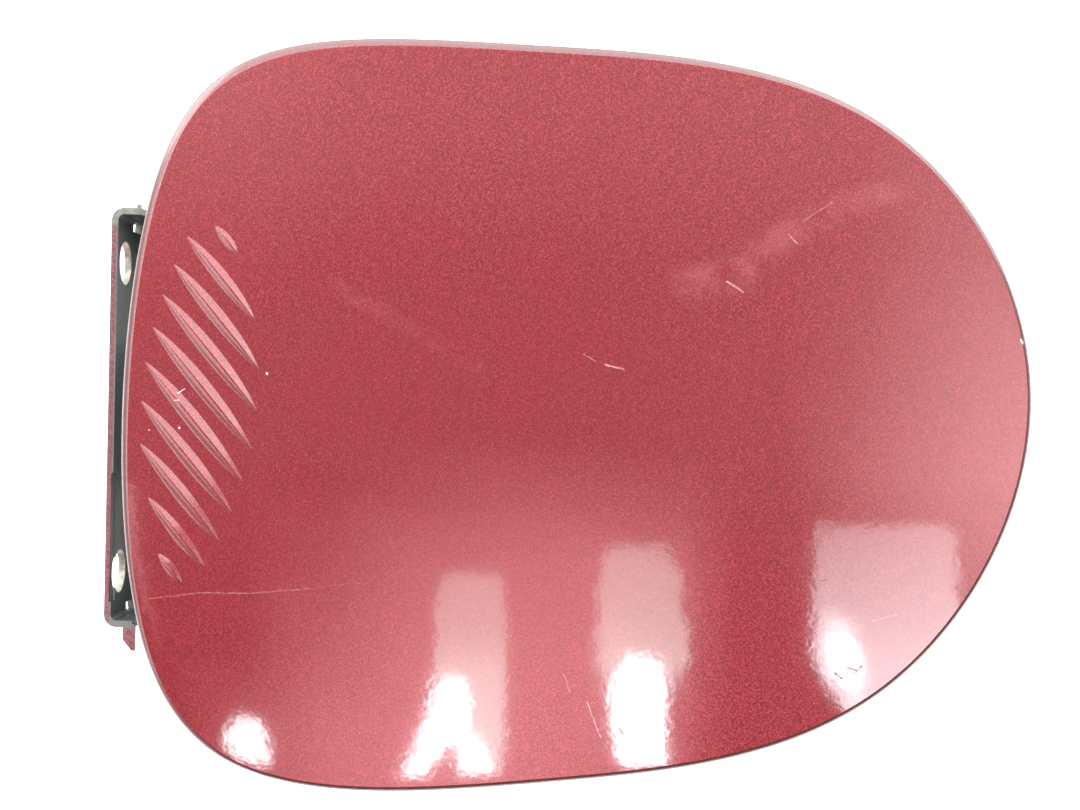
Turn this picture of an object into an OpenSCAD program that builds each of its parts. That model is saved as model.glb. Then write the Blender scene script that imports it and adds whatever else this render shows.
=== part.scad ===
// Car fuel door: a crowned steel skin hemmed round a pressed inner panel, carried on a
// long pin in a folded bracket. Pressing the ribbed patch beside the hinge rocks the door open.
// X runs from the hinge to the free edge, Y along the hinge pin, Z out of the car.
// The origin is the middle of the two bolt holes, on the outer face of the bracket's wall.

/* [Door] */
// Length of the door across the hinge
door_l = 175; // [150:1:210]
// Width of the door along the hinge
door_w = 145; // [125:1:175]
// Fall of the crowned surface from its middle to the hinge and free edges
crown_x = 3; // [1.5:0.1:4]
// Fall of the crowned surface from its middle to the top and bottom edges
crown_y = 2.5; // [1:0.1:3.5]
// Thickness of the outer sheet
skin_t = 0.8; // [0.6:0.05:1]
// Outer radius of the hemmed edge
hem_r = 1.3; // [1.2:0.05:1.6]
// Width of the hem folded in under the edge
hem_w = 7; // [5:0.5:9]

/* [Ribs] */
// Number of pressed ribs
rib_count = 10; // [5:1:12]
// Distance between the ribs' crests
rib_pitch = 5.45; // [4.5:0.05:6.5]
// Slope of the ribs down from the hinge side
rib_angle = 49.5; // [35:0.5:60]
// Width of the widest rib
rib_w = 2.9; // [2:0.1:3.6]
// Height of the tallest rib
rib_h = 0.6; // [0.3:0.05:0.9]
// Radius of the ribbed patch's border on the hinge side
patch_hinge_r = 73; // [60:1:100]
// Radius of the ribbed patch's border towards the free edge
patch_free_r = 66; // [50:1:90]
// Greatest width of the ribbed patch
patch_w = 22.2; // [16:0.1:26]
// Margin between the door's hinge edge and the ribbed patch
patch_margin = 3.7; // [3:0.1:8]
// Lean of the ribbed patch, its upper end towards the free edge
patch_lean = 5.7; // [0:0.1:10]

/* [Inner panel] */
// Thickness of the inner sheet
panel_t = 0.7; // [0.5:0.05:0.9]
// Clearance of the inner sheet inside the hem
hem_clear = 0.15; // [0.05:0.01:0.25]
// Width of the sloping step between the hem and the flat of the panel
step_w = 5; // [3:0.5:8]
// Length of the pressed beads
bead_l = 62; // [30:1:80]
// Width of the pressed beads
bead_w = 7; // [4:0.5:10]
// Height of the pressed beads
bead_h = 1.2; // [0.6:0.1:1.6]
// Distance between the beads that run across the hinge
bead_pitch = 24; // [20:1:32]
// Diameter of the lightening holes
light_d = 12; // [6:0.5:15]
// Distance between the lightening holes, along the beads
light_pitch = 28; // [18:1:36]

/* [Buffers] */
// Distance from the free edge to the rubber buffers
buffer_inset = 29; // [27:0.5:34]
// Distance between the two buffers
buffer_pitch = 44; // [30:1:48]
// Diameter of a buffer's head
buffer_d = 13; // [9:0.5:16]
// Height of a buffer below the panel
buffer_h = 5; // [3:0.5:9]
// Bevel round the buffer's head
buffer_bevel = 1.5; // [0.5:0.1:2.5]
// Reach of the barb beyond the stem
barb = 0.8; // [0.4:0.1:1.2]
// Height of the barb above the panel's underside
barb_h = 2; // [1.5:0.1:3]
// Diameter of a buffer's stem
buffer_stem_d = 7; // [5:0.5:8]

/* [Hinge] */
// Distance of the hinge axis from the door's hinge edge
axis_inset = 25; // [22:0.5:28]
// Height of the hinge axis above the bolt holes
axis_h = 7.5; // [6.5:0.1:9]
// Depth of the hinge axis under the top of the crown
axis_depth = 11; // [11:0.1:13]
// Angle between the shut and the open door
open_angle = 80; // [60:1:80]
// Diameter of the hinge pin
pin_d = 4.5; // [3.5:0.1:5]
// Radial clearance of the pin in the bracket
pin_fit = 0.04; // [0.02:0.01:0.08]
// Radial clearance of the pin in the bushes and the cam
bush_fit = 0.08; // [0.05:0.01:0.1]
// Thickness of the bracket's sheet
bracket_t = 1.3; // [1:0.1:1.8]
// Outer length of the bracket along the hinge
bracket_span = 83; // [70:1:90]
// Outer radius of the bracket's bends
bend_r = 2.5; // [2.2:0.1:3.5]
// Distance from the wall's outer face to the door's edge
edge_standoff = 5; // [4:0.1:7]
// Height of the wall's front edge above the bolt holes
wall_front = 6.2; // [5:0.1:6.5]
// Clearance of the bracket from the path of the door's edge
sweep_clear = 0.9; // [0.5:0.1:2]
// Width of the posts that carry the pin
post_w = 9; // [8.5:0.1:9.4]
// Radius of the eye at the top of each post
eye_r = 4.2; // [3.8:0.1:4.2]
// Clearance between the eyes and the inner panel
eye_clear = 0.6; // [0.4:0.1:1]
// Width of the rim of the push-on washer round the pin
clip_rim = 2.2; // [1.6:0.1:2.3]
// Thickness of the push-on washer
clip_t = 0.8; // [0.5:0.1:1]
// Width of the pin's head round its shank
head_rim = 1.8; // [1.2:0.1:2.2]
// Thickness of the pin's head
head_t = 1.4; // [1:0.1:2]
// Length of the pin's tail beyond the bracket
pin_tail = 2.4; // [2:0.1:4]

/* [Fixings] */
// Distance between the two bolt holes
bolt_pitch = 62; // [50:1:66]
// Diameter of the bolt holes
bolt_d = 8.6; // [6:0.1:10]
// Width of the small slots at the ends of the wall
slot_w = 2; // [1.5:0.1:3]
// Height of the small slots
slot_h = 6; // [4:0.5:7]
// Depth of the slots behind the wall's front edge
slot_depth = 11.8; // [10:0.1:13]
// Reach of the lug beyond the lower ear
lug_w = 4.6; // [3:0.1:6]
// Height of the lug's cut corner
lug_cut = 2.2; // [1:0.1:2.6]
// Reach of the small nib left by the press beyond the upper ear
nib = 0.7; // [0.3:0.1:1.2]
// Depth of the coined relief along the lower part of the wall's front edge
coin_depth = 0.35; // [0.2:0.05:0.5]
// Height of the coined relief
coin_h = 3; // [2:0.1:4]
// Distance from the hinge's middle to the start of the relief
coin_start = 11; // [8:0.5:14]
// Length of the openings in the floor
window_l = 16; // [10:0.5:17]
// Width of the openings in the floor
window_w = 20; // [12:0.5:22]
// Corner radius of the openings in the floor
window_r = 3; // [1.5:0.1:5]

/* [Arms and detent] */
// Thickness of the hinge arms
arm_t = 1.5; // [1.2:0.1:1.8]
// Gap between each arm and its bracket ear
arm_gap = 1; // [0.8:0.1:1.6]
// Length of the arms beyond the hinge axis
arm_l = 32; // [20:1:38]
// Width of the arms' welded feet
arm_foot = 12; // [8:0.5:16]
// Inner radius of the arms' bends
arm_bend = 0.5; // [0.3:0.1:1]
// Outer radius of the bushes
bush_r = 3.4; // [3:0.1:3.6]
// Radius of the flange on each bush
flange_r = 4.8; // [4.4:0.1:5.2]
// Width of the detent cam along the pin
cam_w = 14; // [10:0.5:20]
// Radius of the detent cam
cam_r = 5.5; // [5:0.1:6]
// Depth of the two flats on the cam
flat_depth = 0.5; // [0.3:0.05:0.6]
// Thickness of the cam's foot
foot_t = 1.8; // [1.5:0.1:2]
// Length of the cam's foot from the hinge axis
cam_foot_l = 16; // [14:0.5:20]
// Width of the leaf spring
leaf_w = 12; // [8:0.5:16]
// Thickness of the leaf spring
leaf_t = 0.8; // [0.5:0.05:1]
// Radius of the leaf spring's upper bend
leaf_r = 9; // [8:0.5:10]
// Gap between the leaf spring and the round of the cam
leaf_gap = 0.3; // [0.2:0.05:0.4]
// Diameter of the rivets' shanks
rivet_d = 3; // [2:0.1:3.5]
// Distance between the rivets of a pair
rivet_pitch = 8; // [7:0.5:9]

/* [Hidden] */
$fn = 48;
eps = 0.01;
// Overrun of a cut past the faces it goes through
over = 1;
// Play of rivets and stems in their holes, across the diameter
hole_play = 0.1;
// Play between two pieces that are pressed together
press_play = 0.02;

// Control points of the outline, as shares of the half length and the half width
OUTLINE = [[1.14, 0.09], [0.70, 0.96], [-0.14, 0.985], [-0.74, 1.03], [-1.00, 0.67],
    [-1.02, -0.765], [-0.645, -1.035], [-0.055, -0.96], [0.73, -0.855]];
// Steps in each span of the outline
SPAN_STEPS = 10;
// Middle of the ribbed patch, of the pair of buffers and of the outline, above the hinge's middle
PATCH_Y = 2.8;
BUFFER_Y = 4.5;
DOOR_Y = 1.65;

// Places along X and Z that follow from the driving sizes
edge_x = edge_standoff;
axis_x = edge_x + axis_inset;
mid_x = edge_x + door_l / 2;
top_z = axis_h + axis_depth;
panel_z = axis_h + eye_r + eye_clear;
half_span = bracket_span / 2;
pin_r = pin_d / 2;

// Point t of one span of a closed cubic B-spline
function span_point(c, i, t) =
    let (n = len(c), a = c[i], b = c[(i + 1) % n], d = c[(i + 2) % n], e = c[(i + 3) % n])
    (pow(1 - t, 3) * a + (3 * t * t * t - 6 * t * t + 4) * b
        + (-3 * t * t * t + 3 * t * t + 3 * t + 1) * d + pow(t, 3) * e) / 6;

function closed_spline(c, steps) =
    [for (i = [0:len(c) - 1], k = [0:steps - 1]) span_point(c, i, k / steps)];

// The outline is stretched to the door's exact length and width
RAW = closed_spline(OUTLINE, SPAN_STEPS);
raw_lo = [min([for (p = RAW) p.x]), min([for (p = RAW) p.y])];
raw_hi = [max([for (p = RAW) p.x]), max([for (p = RAW) p.y])];
EDGE = [for (p = RAW)
    [edge_x + door_l * (p.x - raw_lo.x) / (raw_hi.x - raw_lo.x),
     DOOR_Y + door_w * ((p.y - raw_lo.y) / (raw_hi.y - raw_lo.y) - 0.5)]];
N = len(EDGE);
function unit(v) = v / norm(v);
INWARD = [for (i = [0:N - 1])
    let (t = unit(EDGE[(i + 1) % N] - EDGE[(i + N - 1) % N])) [-t.y, t.x]];

// Height of the crowned surface over the plane of the outline
function crown_z(p) = top_z - crown_x * pow((p.x - mid_x) / (door_l / 2), 2)
    - crown_y * pow((p.y - DOOR_Y) / (door_w / 2), 2);

// Slope of the crowned surface along X and Y
function crown_slope(p) = [-8 * crown_x * (p.x - mid_x) / (door_l * door_l),
    -8 * crown_y * (p.y - DOOR_Y) / (door_w * door_w)];

// A ring at a distance inside the outline, at a depth below the crowned surface
function inset_ring(d, depth) = [for (i = [0:N - 1])
    let (p = EDGE[i] + d * INWARD[i]) [p.x, p.y, crown_z(p) - depth]];

// A ring at a share of the way from the door's middle to the ring at distance d
function inner_ring(share, d, depth) = [for (i = [0:N - 1])
    let (q = EDGE[i] + d * INWARD[i], p = [mid_x, DOOR_Y] + share * (q - [mid_x, DOOR_Y]))
    [p.x, p.y, crown_z(p) - depth]];

// A ring of the rolled edge: an arc of radius r about the hem's middle
function roll_ring(r, angle) = [for (i = [0:N - 1])
    let (q = EDGE[i] + hem_r * INWARD[i], p = q - r * sin(angle) * INWARD[i])
    [p.x, p.y, crown_z(q) - hem_r + r * cos(angle)]];

// Rings joined into a closed solid, with a flat or pointed cap at both ends
module ring_solid(rings, first_cap, last_cap) {
    m = len(rings);
    points = concat([for (r = rings) each r], [first_cap, last_cap]);
    sides = [for (j = [0:m - 2], i = [0:N - 1])
        let (a = j * N + i, b = j * N + (i + 1) % N) each [[a, b + N, a + N], [a, b, b + N]]];
    first = [for (i = [0:N - 1]) [(i + 1) % N, i, m * N]];
    last = [for (i = [0:N - 1]) [(m - 1) * N + i, (m - 1) * N + (i + 1) % N, m * N + 1]];
    polyhedron(points, concat(sides, first, last), convexity = 6);
}

// A plain solid of revolution about the hinge direction, at a place along the pin
module along_pin(y0, y1, r) {
    translate([axis_x, y0, axis_h]) rotate([-90, 0, 0]) cylinder(h = y1 - y0, r = r);
}

// A profile drawn in X and Z, given a thickness from y0 to y1
module side_plate(y0, y1) {
    translate([0, y1, 0]) rotate([90, 0, 0]) linear_extrude(y1 - y0) children();
}

// A ring segment in the plane, from angle a0 to a1
module arc_band(r_in, r_out, a0, a1) {
    steps = 6;
    reach = 2 * r_out;
    intersection() {
        difference() {
            circle(r_out);
            circle(r_in);
        }
        polygon(concat([[0, 0]],
            [for (k = [0:steps]) let (a = a0 + (a1 - a0) * k / steps) reach * [cos(a), sin(a)]]));
    }
}

// Ribbed patch: two arcs that meet above and below, leaning together
patch_mid = [edge_x + patch_margin + patch_w / 2, PATCH_Y];
patch_side = [cos(patch_lean), -sin(patch_lean)];
patch_hinge_c = patch_mid + (patch_hinge_r - patch_w / 2) * patch_side;
patch_free_c = patch_mid - (patch_free_r - patch_w / 2) * patch_side;
rib_dir = [cos(rib_angle), -sin(rib_angle)];
rib_side = [sin(rib_angle), cos(rib_angle)];

// How far along the rib's line, from its foot q, the patch's two borders lie
function hinge_end(q) = let (w = q - patch_hinge_c, b = w * rib_dir)
    -b - sqrt(max(0, b * b - w * w + patch_hinge_r * patch_hinge_r));
function free_end(q) = let (w = q - patch_free_c, b = w * rib_dir)
    -b + sqrt(max(0, b * b - w * w + patch_free_r * patch_free_r));
function rib_foot(k) = patch_mid + (k - (rib_count - 1) / 2) * rib_pitch * rib_side;

// One spindle-shaped ridge: a lens in plan, a bow in side view, a blunt wedge across
module rib_solid(length, sink) {
    steps = 6;
    full = patch_w / cos(rib_angle);
    share = min(1, length / full);
    half = rib_w / 2 * (0.45 + 0.55 * share);
    high = rib_h * (0.35 + 0.65 * share);
    // The flanks run on below the surface at the same slope
    foot = half * (high + sink) / high;
    lens = [for (k = [0:steps]) let (t = 2 * k / steps - 1)
        [t * length / 2, foot * (1 - t * t)]];
    hull() {
        translate([0, 0, -sink]) linear_extrude(eps)
            polygon(concat(lens, [for (k = [steps - 1:-1:1]) [lens[k].x, -lens[k].y]]));
        rotate([90, 0, 0]) linear_extrude(0.1, center = true)
            polygon(concat([for (k = [0:steps]) let (t = 2 * k / steps - 1)
                [t * length / 2 * 0.98, high - (high + 0.15) * t * t]],
                [[length / 2 * 0.98, -sink], [-length / 2 * 0.98, -sink]]));
    }
}

// All ribs set on the crowned surface, lowered by a depth
module ribs(depth, sink) {
    for (k = [0:rib_count - 1]) {
        q = rib_foot(k);
        a = hinge_end(q);
        b = free_end(q);
        if (b - a > 2 * rib_w) {
            p = q + (a + b) / 2 * rib_dir;
            s = crown_slope(p);
            translate([p.x, p.y, crown_z(p) - depth])
                multmatrix([[1, 0, 0, 0], [0, 1, 0, 0], [s.x, s.y, 1, 0], [0, 0, 0, 1]])
                rotate([0, 0, -rib_angle]) rib_solid(b - a, sink);
        }
    }
}

// Crowned sheet with its edge rolled under and folded back as a hem
module skin_sheet() {
    band = [hem_w + 5, hem_w, 3.5, hem_r];
    shares = [0.3, 0.55, 0.78];
    roll = [20:20:180];
    inner_r = hem_r - skin_t;
    rings = concat(
        [for (s = shares) inner_ring(s, band[0], 0)],
        [for (d = band) inset_ring(d, 0)],
        [for (a = roll) roll_ring(hem_r, a)],
        [inset_ring(hem_w, 2 * hem_r), inset_ring(hem_w, 2 * hem_r - skin_t)],
        [for (a = [180:-45:0]) roll_ring(inner_r, a)],
        [for (k = [2:-1:0]) inset_ring(band[k], skin_t)],
        [for (k = [2:-1:0]) inner_ring(shares[k], band[0], skin_t)]);
    centre = [mid_x, DOOR_Y, top_z];
    ring_solid(rings, centre, centre - [0, 0, skin_t]);
}

module outer_skin() {
    color("firebrick") difference() {
        union() {
            skin_sheet();
            ribs(0, 0.3);
        }
        ribs(skin_t, 0.5);
    }
}

// Inner sheet: a border inside the hem, a sloping step and a flat field
edge_play = hem_r - skin_t + hem_clear;
border_in = hem_w + 1;
flat_in = border_in + step_w;

// Ring of the inner sheet at distance d, on its upper face or one thickness lower
function ease(t) = t * t * (3 - 2 * t);
function panel_ring(d, low) = [for (i = [0:N - 1])
    let (p = EDGE[i] + d * INWARD[i],
        u = ease(max(0, min(1, (d - border_in) / step_w))),
        border = crown_z(p) - skin_t - hem_clear)
    [p.x, p.y, (1 - u) * border + u * (panel_z + panel_t) - low]];

module panel_sheet() {
    stations = [flat_in, for (u = [0.75, 0.5, 0.25, 0]) border_in + u * step_w, skin_t + edge_play];
    last = len(stations) - 1;
    rings = concat([for (d = stations) panel_ring(d, 0)],
        [for (k = [last:-1:0]) panel_ring(stations[k], panel_t)]);
    centre = [mid_x, DOOR_Y, panel_z + panel_t];
    ring_solid(rings, centre, centre - [0, 0, panel_t]);
}

// Round-ended bead pressed up towards the skin, lowered by a depth
module bead(from, to, depth) {
    r = (bead_w * bead_w / 4 + bead_h * bead_h) / (2 * bead_h);
    hull() for (p = [from, to])
        translate([p.x, p.y, panel_z + panel_t + bead_h - r - depth])
            intersection() {
                sphere(r, $fn = 28);
                translate([-r, -r, r - bead_h - 0.25]) cube([2 * r, 2 * r, bead_h + 1]);
            }
}

bead_x = axis_x + arm_l + bead_w + 4;
buffer_x = edge_x + door_l - buffer_inset;
light_x = bead_x + bead_l / 2;

module beads(depth) {
    for (j = [-1:1])
        bead([bead_x, j * bead_pitch], [bead_x + bead_l, j * bead_pitch], depth);
    bead([axis_x + arm_l - bead_w, -bead_pitch], [axis_x + arm_l - bead_w, bead_pitch], depth);
}

module inner_panel() {
    color("indianred") difference() {
        union() {
            panel_sheet();
            beads(0);
        }
        beads(panel_t);
        for (i = [-0.5, 0.5], j = [-0.5, 0.5])
            translate([light_x + i * light_pitch, j * bead_pitch, panel_z - over])
                cylinder(h = panel_t + 2 * over, d = light_d);
        for (j = [-0.5, 0.5])
            translate([buffer_x, BUFFER_Y + j * buffer_pitch, panel_z - over])
                cylinder(h = panel_t + 2 * over, d = buffer_stem_d + 2 * hole_play);
        for (j = [-0.5, 0.5])
            translate([cam_rivet_x, j * rivet_pitch, panel_z - over])
                cylinder(h = panel_t + 2 * over, d = rivet_d + hole_play);
    }
}

// Arms: an eye on the pin, a web along the pin's end and a foot under the inner panel
arm_out = half_span - bracket_t - arm_gap;
arm_eye_r = panel_z - axis_h;

// Pressed from one sheet, with an outer radius along the bend between web and foot
module hinge_arm(side) {
    low_z = panel_z - arm_t;
    y_in = arm_out - arm_t;
    r = arm_bend + arm_t;
    color("dimgray") mirror([0, side < 0 ? 1 : 0, 0]) difference() {
        union() {
            side_plate(y_in, arm_out) union() {
                translate([axis_x, axis_h]) circle(arm_eye_r);
                polygon([[axis_x - arm_eye_r, axis_h], [axis_x - arm_eye_r, panel_z],
                    [axis_x + arm_l, panel_z], [axis_x + arm_l, low_z],
                    [axis_x + arm_eye_r, axis_h - 0.1 * arm_eye_r]]);
            }
            translate([axis_x - arm_eye_r, arm_out - arm_foot, low_z])
                cube([arm_l + arm_eye_r, arm_foot - arm_t / 2, arm_t]);
        }
        along_pin(y_in - over, arm_out + over, bush_r + press_play);
        translate([axis_x - arm_eye_r - over, arm_out - r, panel_z - r]) rotate([90, 0, 90])
            linear_extrude(arm_l + arm_eye_r + 2 * over) difference() {
                square(r + over);
                circle(r);
            }
    }
}

// Flanged bush in an arm's eye, its flange in the gap to the bracket's ear
module bush(side) {
    flange_t = arm_gap - 0.4;
    color("ivory") mirror([0, side < 0 ? 1 : 0, 0]) difference() {
        union() {
            along_pin(arm_out - arm_t - 0.5, arm_out, bush_r);
            along_pin(arm_out, arm_out + flange_t, flange_r);
        }
        along_pin(arm_out - arm_t - over, arm_out + arm_gap, pin_r + bush_fit);
    }
}

// Cam round the pin, with one flat downwards when shut and one when open
cam_rivet_x = axis_x + cam_foot_l - 1.5 * rivet_d;

module detent_cam() {
    flat_r = cam_r - flat_depth;
    color("whitesmoke") difference() {
        side_plate(-cam_w / 2, cam_w / 2) difference() {
            union() {
                translate([axis_x, axis_h]) circle(cam_r);
                translate([axis_x - cam_r, axis_h]) square([2 * cam_r, panel_z - axis_h]);
                translate([axis_x, panel_z - foot_t]) square([cam_foot_l, foot_t]);
            }
            translate([axis_x - cam_r, panel_z]) square(2 * cam_r);
            for (a = [0, open_angle]) translate([axis_x, axis_h]) rotate(-a)
                translate([-cam_r, -flat_r - 2 * cam_r]) square([2 * cam_r, 2 * cam_r]);
        }
        along_pin(-cam_w, cam_w, pin_r + bush_fit);
        for (j = [-0.5, 0.5]) translate([cam_rivet_x, j * rivet_pitch, panel_z - foot_t - over])
            cylinder(h = foot_t + 2 * over, d = rivet_d + hole_play);
    }
}

// Rivet with two domed heads, through a stack from z0 to z1
module rivet(z0, z1) {
    head_r = rivet_d * 0.9;
    head_h = rivet_d * 0.35;
    translate([0, 0, z0]) cylinder(h = z1 - z0, d = rivet_d);
    for (end = [[z1, 1], [z0, -1]]) translate([0, 0, end[0]])
        mirror([0, 0, end[1] < 0 ? 1 : 0]) rotate_extrude() intersection() {
            translate([0, -(head_r * head_r - head_h * head_h) / (2 * head_h)])
                circle((head_r * head_r + head_h * head_h) / (2 * head_h));
            square([head_r, head_h]);
        }
}

module cam_rivets() {
    color("silver") for (j = [-0.5, 0.5])
        translate([cam_rivet_x, j * rivet_pitch, 0]) rivet(panel_z - foot_t, panel_z + panel_t);
}

// Rubber buffer: domed head, stem through the panel and a barb above it
module buffer(side) {
    head_r = buffer_d / 2;
    stem_r = buffer_stem_d / 2;
    color("black") translate([buffer_x, BUFFER_Y + side * buffer_pitch / 2, panel_z]) rotate_extrude()
        polygon([[0, -buffer_h], [head_r - buffer_bevel, -buffer_h],
            [head_r, buffer_bevel - buffer_h], [head_r, 0], [stem_r, 0],
            [stem_r, panel_t + hole_play], [stem_r + barb, panel_t + hole_play],
            [stem_r - barb / 2, barb_h], [0, barb_h]]);
}

// Bracket. The path of the door's edge round the pin sets its depth and the cut in its ears
function edge_sweep(y_lo, y_hi) = max([for (p = EDGE)
    if (p.x < axis_x && abs(p.y) >= y_lo && abs(p.y) <= y_hi)
        norm([p.x - axis_x, crown_z(p) - hem_r - axis_h])]);
wide_sweep = edge_sweep(0, half_span + lug_w);
ear_sweep = edge_sweep(half_span - 8, half_span + lug_w + 2);
floor_z = axis_h - wide_sweep - sweep_clear;
bracket_l = axis_x + post_w / 2;

// Sheet outline seen along the pin: wall, floor, ear with its round cut, post and eye
module ear_profile() {
    low = floor_z - bracket_t;
    tall = wall_front - low;
    cut_r = ear_sweep + sweep_clear;
    blend = 3;
    post_x = axis_x - post_w / 2;
    base_z = axis_h - sqrt(cut_r * cut_r - pow(post_w / 2 + blend, 2));
    difference() {
        union() {
            translate([bend_r, low]) square([bracket_l - bend_r, tall]);
            translate([0, low + bend_r]) square([bend_r + eps, tall - bend_r]);
            translate([bend_r, low + bend_r]) circle(bend_r);
        }
        translate([axis_x, axis_h]) circle(cut_r);
    }
    translate([post_x, low + eps]) square([post_w, axis_h - low]);
    translate([axis_x, axis_h]) circle(eye_r);
    difference() {
        translate([post_x - blend, base_z - eps]) square(blend + eps);
        translate([post_x - blend, base_z + blend]) circle(blend);
    }
}

// Block with rounded edges at the wall's two ends, and along the floor's two sides
module rounded_plan(half, r, x0, x1) {
    translate([x0 + r, -half]) square([x1 - x0 - r, 2 * half]);
    translate([x0, -half + r]) square([r + eps, 2 * (half - r)]);
    for (s = [-1, 1]) translate([x0 + r, s * (half - r)]) circle(r);
}

module rounded_end(half, r, z0, z1) {
    translate([-half, z0 + r]) square([2 * half, z1 - z0 - r]);
    translate([-half + r, z0]) square([2 * (half - r), r + eps]);
    for (s = [-1, 1]) translate([s * (half - r), z0 + r]) circle(r);
}

module pan(half, r, x0, z0) {
    tall = 60;
    intersection() {
        translate([0, 0, z0 - over]) linear_extrude(tall) rounded_plan(half, r, x0, bracket_l + over);
        translate([x0 - over, 0, 0]) rotate([90, 0, 90]) linear_extrude(bracket_l + 4 * over)
            rounded_end(half, r, z0, z0 + tall);
        children();
    }
}

module cavity_profile() {
    r = bend_r - bracket_t;
    translate([bracket_t + r, floor_z]) square([bracket_l, 60]);
    translate([bracket_t, floor_z + r]) square([r + eps, 60 - r]);
    translate([bracket_t + r, floor_z + r]) circle(r);
}

window_y = (bracket_span + leaf_w) / 4;
window_x = bend_r + 4;
spring_rivet_x = axis_x - 8;
leaf_x0 = spring_rivet_x - 1.6 * rivet_d;

// Round-cornered opening through the floor, for lightness and drainage
module floor_window(y) {
    translate([window_x + window_l / 2, y, floor_z - bracket_t - over])
        linear_extrude(bracket_t + 2 * over) {
            square([window_l, window_w - 2 * window_r], center = true);
            square([window_l - 2 * window_r, window_w], center = true);
            for (i = [-1, 1], j = [-1, 1])
                translate([i * (window_l / 2 - window_r), j * (window_w / 2 - window_r)])
                    circle(window_r);
        }
}

// Where the ears' round cut meets the level of the wall's front edge
function ear_end(clear) =
    axis_x - sqrt(pow(ear_sweep + clear, 2) - pow(axis_h - wall_front, 2));

// Lug turned out from the lower ear, with one corner cut off
module lug() {
    x0 = bend_r + bracket_t;
    x1 = ear_end(sweep_clear / 2);
    y0 = -half_span + bracket_t / 2;
    y1 = -half_span - lug_w;
    translate([0, 0, wall_front - bracket_t]) linear_extrude(bracket_t)
        polygon([[x0, y0], [x0, y1 + lug_cut], [x0 + 0.8 * lug_cut, y1], [x1, y1], [x1, y0]]);
}

// Nib where the upper ear's edge was parted from the strip
module press_nib() {
    x1 = ear_end(sweep_clear);
    translate([x1 - nib, half_span - bracket_t / 2, wall_front - bracket_t])
        cube([nib, nib + bracket_t / 2, bracket_t]);
}

// Relief along the wall's front edge, on the side towards the door
module coined_relief() {
    translate([bracket_t - coin_depth, -half_span + 2 * bend_r, wall_front - coin_h])
        cube([bend_r, half_span - 2 * bend_r - coin_start, coin_h + over]);
}

module hinge_bracket() {
    color("darkslategray") difference() {
        union() {
            difference() {
                pan(half_span, bend_r, 0, floor_z - bracket_t)
                    side_plate(-half_span, half_span) ear_profile();
                pan(half_span - bracket_t, bend_r - bracket_t, bracket_t, floor_z)
                    side_plate(-half_span, half_span) cavity_profile();
            }
            lug();
            press_nib();
        }
        coined_relief();
        for (j = [-0.5, 0.5]) translate([-over, j * bolt_pitch, 0]) rotate([0, 90, 0])
            cylinder(h = bend_r + 2 * over, d = bolt_d);
        for (j = [-1, 1])
            translate([-over, j * (half_span - bend_r) - slot_w / 2, wall_front - slot_depth - slot_h])
                cube([bracket_t + 2 * over, slot_w, slot_h]);
        along_pin(-half_span - over, half_span + over, pin_r + pin_fit);
        for (j = [-1, 1]) floor_window(j * window_y);
        for (j = [-0.5, 0.5]) translate([spring_rivet_x, j * rivet_pitch, floor_z - 2 * over])
            cylinder(h = 4 * over, d = rivet_d + hole_play);
    }
}

// Headed pin whose tail carries the push-on washer
module hinge_pin() {
    color("silver") union() {
        along_pin(-half_span - pin_tail, half_span + eps, pin_r);
        along_pin(half_span, half_span + head_t, pin_r + head_rim);
    }
}

// Push-on washer: a disc with a dished middle round the pin
module pin_clip() {
    color("gray") difference() {
        union() {
            along_pin(-half_span - clip_t, -half_span, pin_r + clip_rim);
            along_pin(-half_span - 1.5 * clip_t, -half_span - clip_t + eps, pin_r + 0.4 * clip_rim);
        }
        along_pin(-half_span - 3 * clip_t, -half_span + over, pin_r + press_play);
    }
}

// Leaf spring: flat on the floor, up at the far side and over under the cam
module leaf_spring() {
    crest = axis_h - cam_r - leaf_gap;
    turn_r = 4;
    far = axis_x + leaf_r;
    up_z = crest - leaf_r;
    color("slategray") difference() {
        side_plate(-leaf_w / 2, leaf_w / 2) union() {
            translate([leaf_x0, floor_z]) square([far - turn_r - leaf_x0 + eps, leaf_t]);
            translate([far - turn_r, floor_z + turn_r]) arc_band(turn_r - leaf_t, turn_r, 270, 360);
            translate([far - leaf_t, floor_z + turn_r - eps])
                square([leaf_t, up_z - floor_z - turn_r + 2 * eps]);
            translate([axis_x, up_z]) arc_band(leaf_r - leaf_t, leaf_r, 0, 106);
        }
        for (j = [-0.5, 0.5]) translate([spring_rivet_x, j * rivet_pitch, floor_z - over])
            cylinder(h = leaf_t + 2 * over, d = rivet_d + hole_play);
    }
}

module spring_rivets() {
    color("silver") for (j = [-0.5, 0.5])
        translate([spring_rivet_x, j * rivet_pitch, 0]) rivet(floor_z - bracket_t, floor_z + leaf_t);
}

outer_skin();
inner_panel();
hinge_arm(1);  // hinge_arm_upper
hinge_arm(-1);  // hinge_arm_lower
bush(1);  // bush_upper
bush(-1);  // bush_lower
detent_cam();
cam_rivets();
buffer(1);  // buffer_upper
buffer(-1);  // buffer_lower
hinge_bracket();
hinge_pin();
pin_clip();
leaf_spring();
spring_rivets();
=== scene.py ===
"""Looks of a car fuel door: painted skin, inner panel, hinge bracket and its small parts.

Sizes are in millimetres unless their names say otherwise, and turn to metres where Blender takes them.
"""

import logging
import math
from collections.abc import Callable
from dataclasses import dataclass, field
from enum import Enum

import bpy
import numpy as np
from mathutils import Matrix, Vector
from mathutils.geometry import delaunay_2d_cdt


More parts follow.
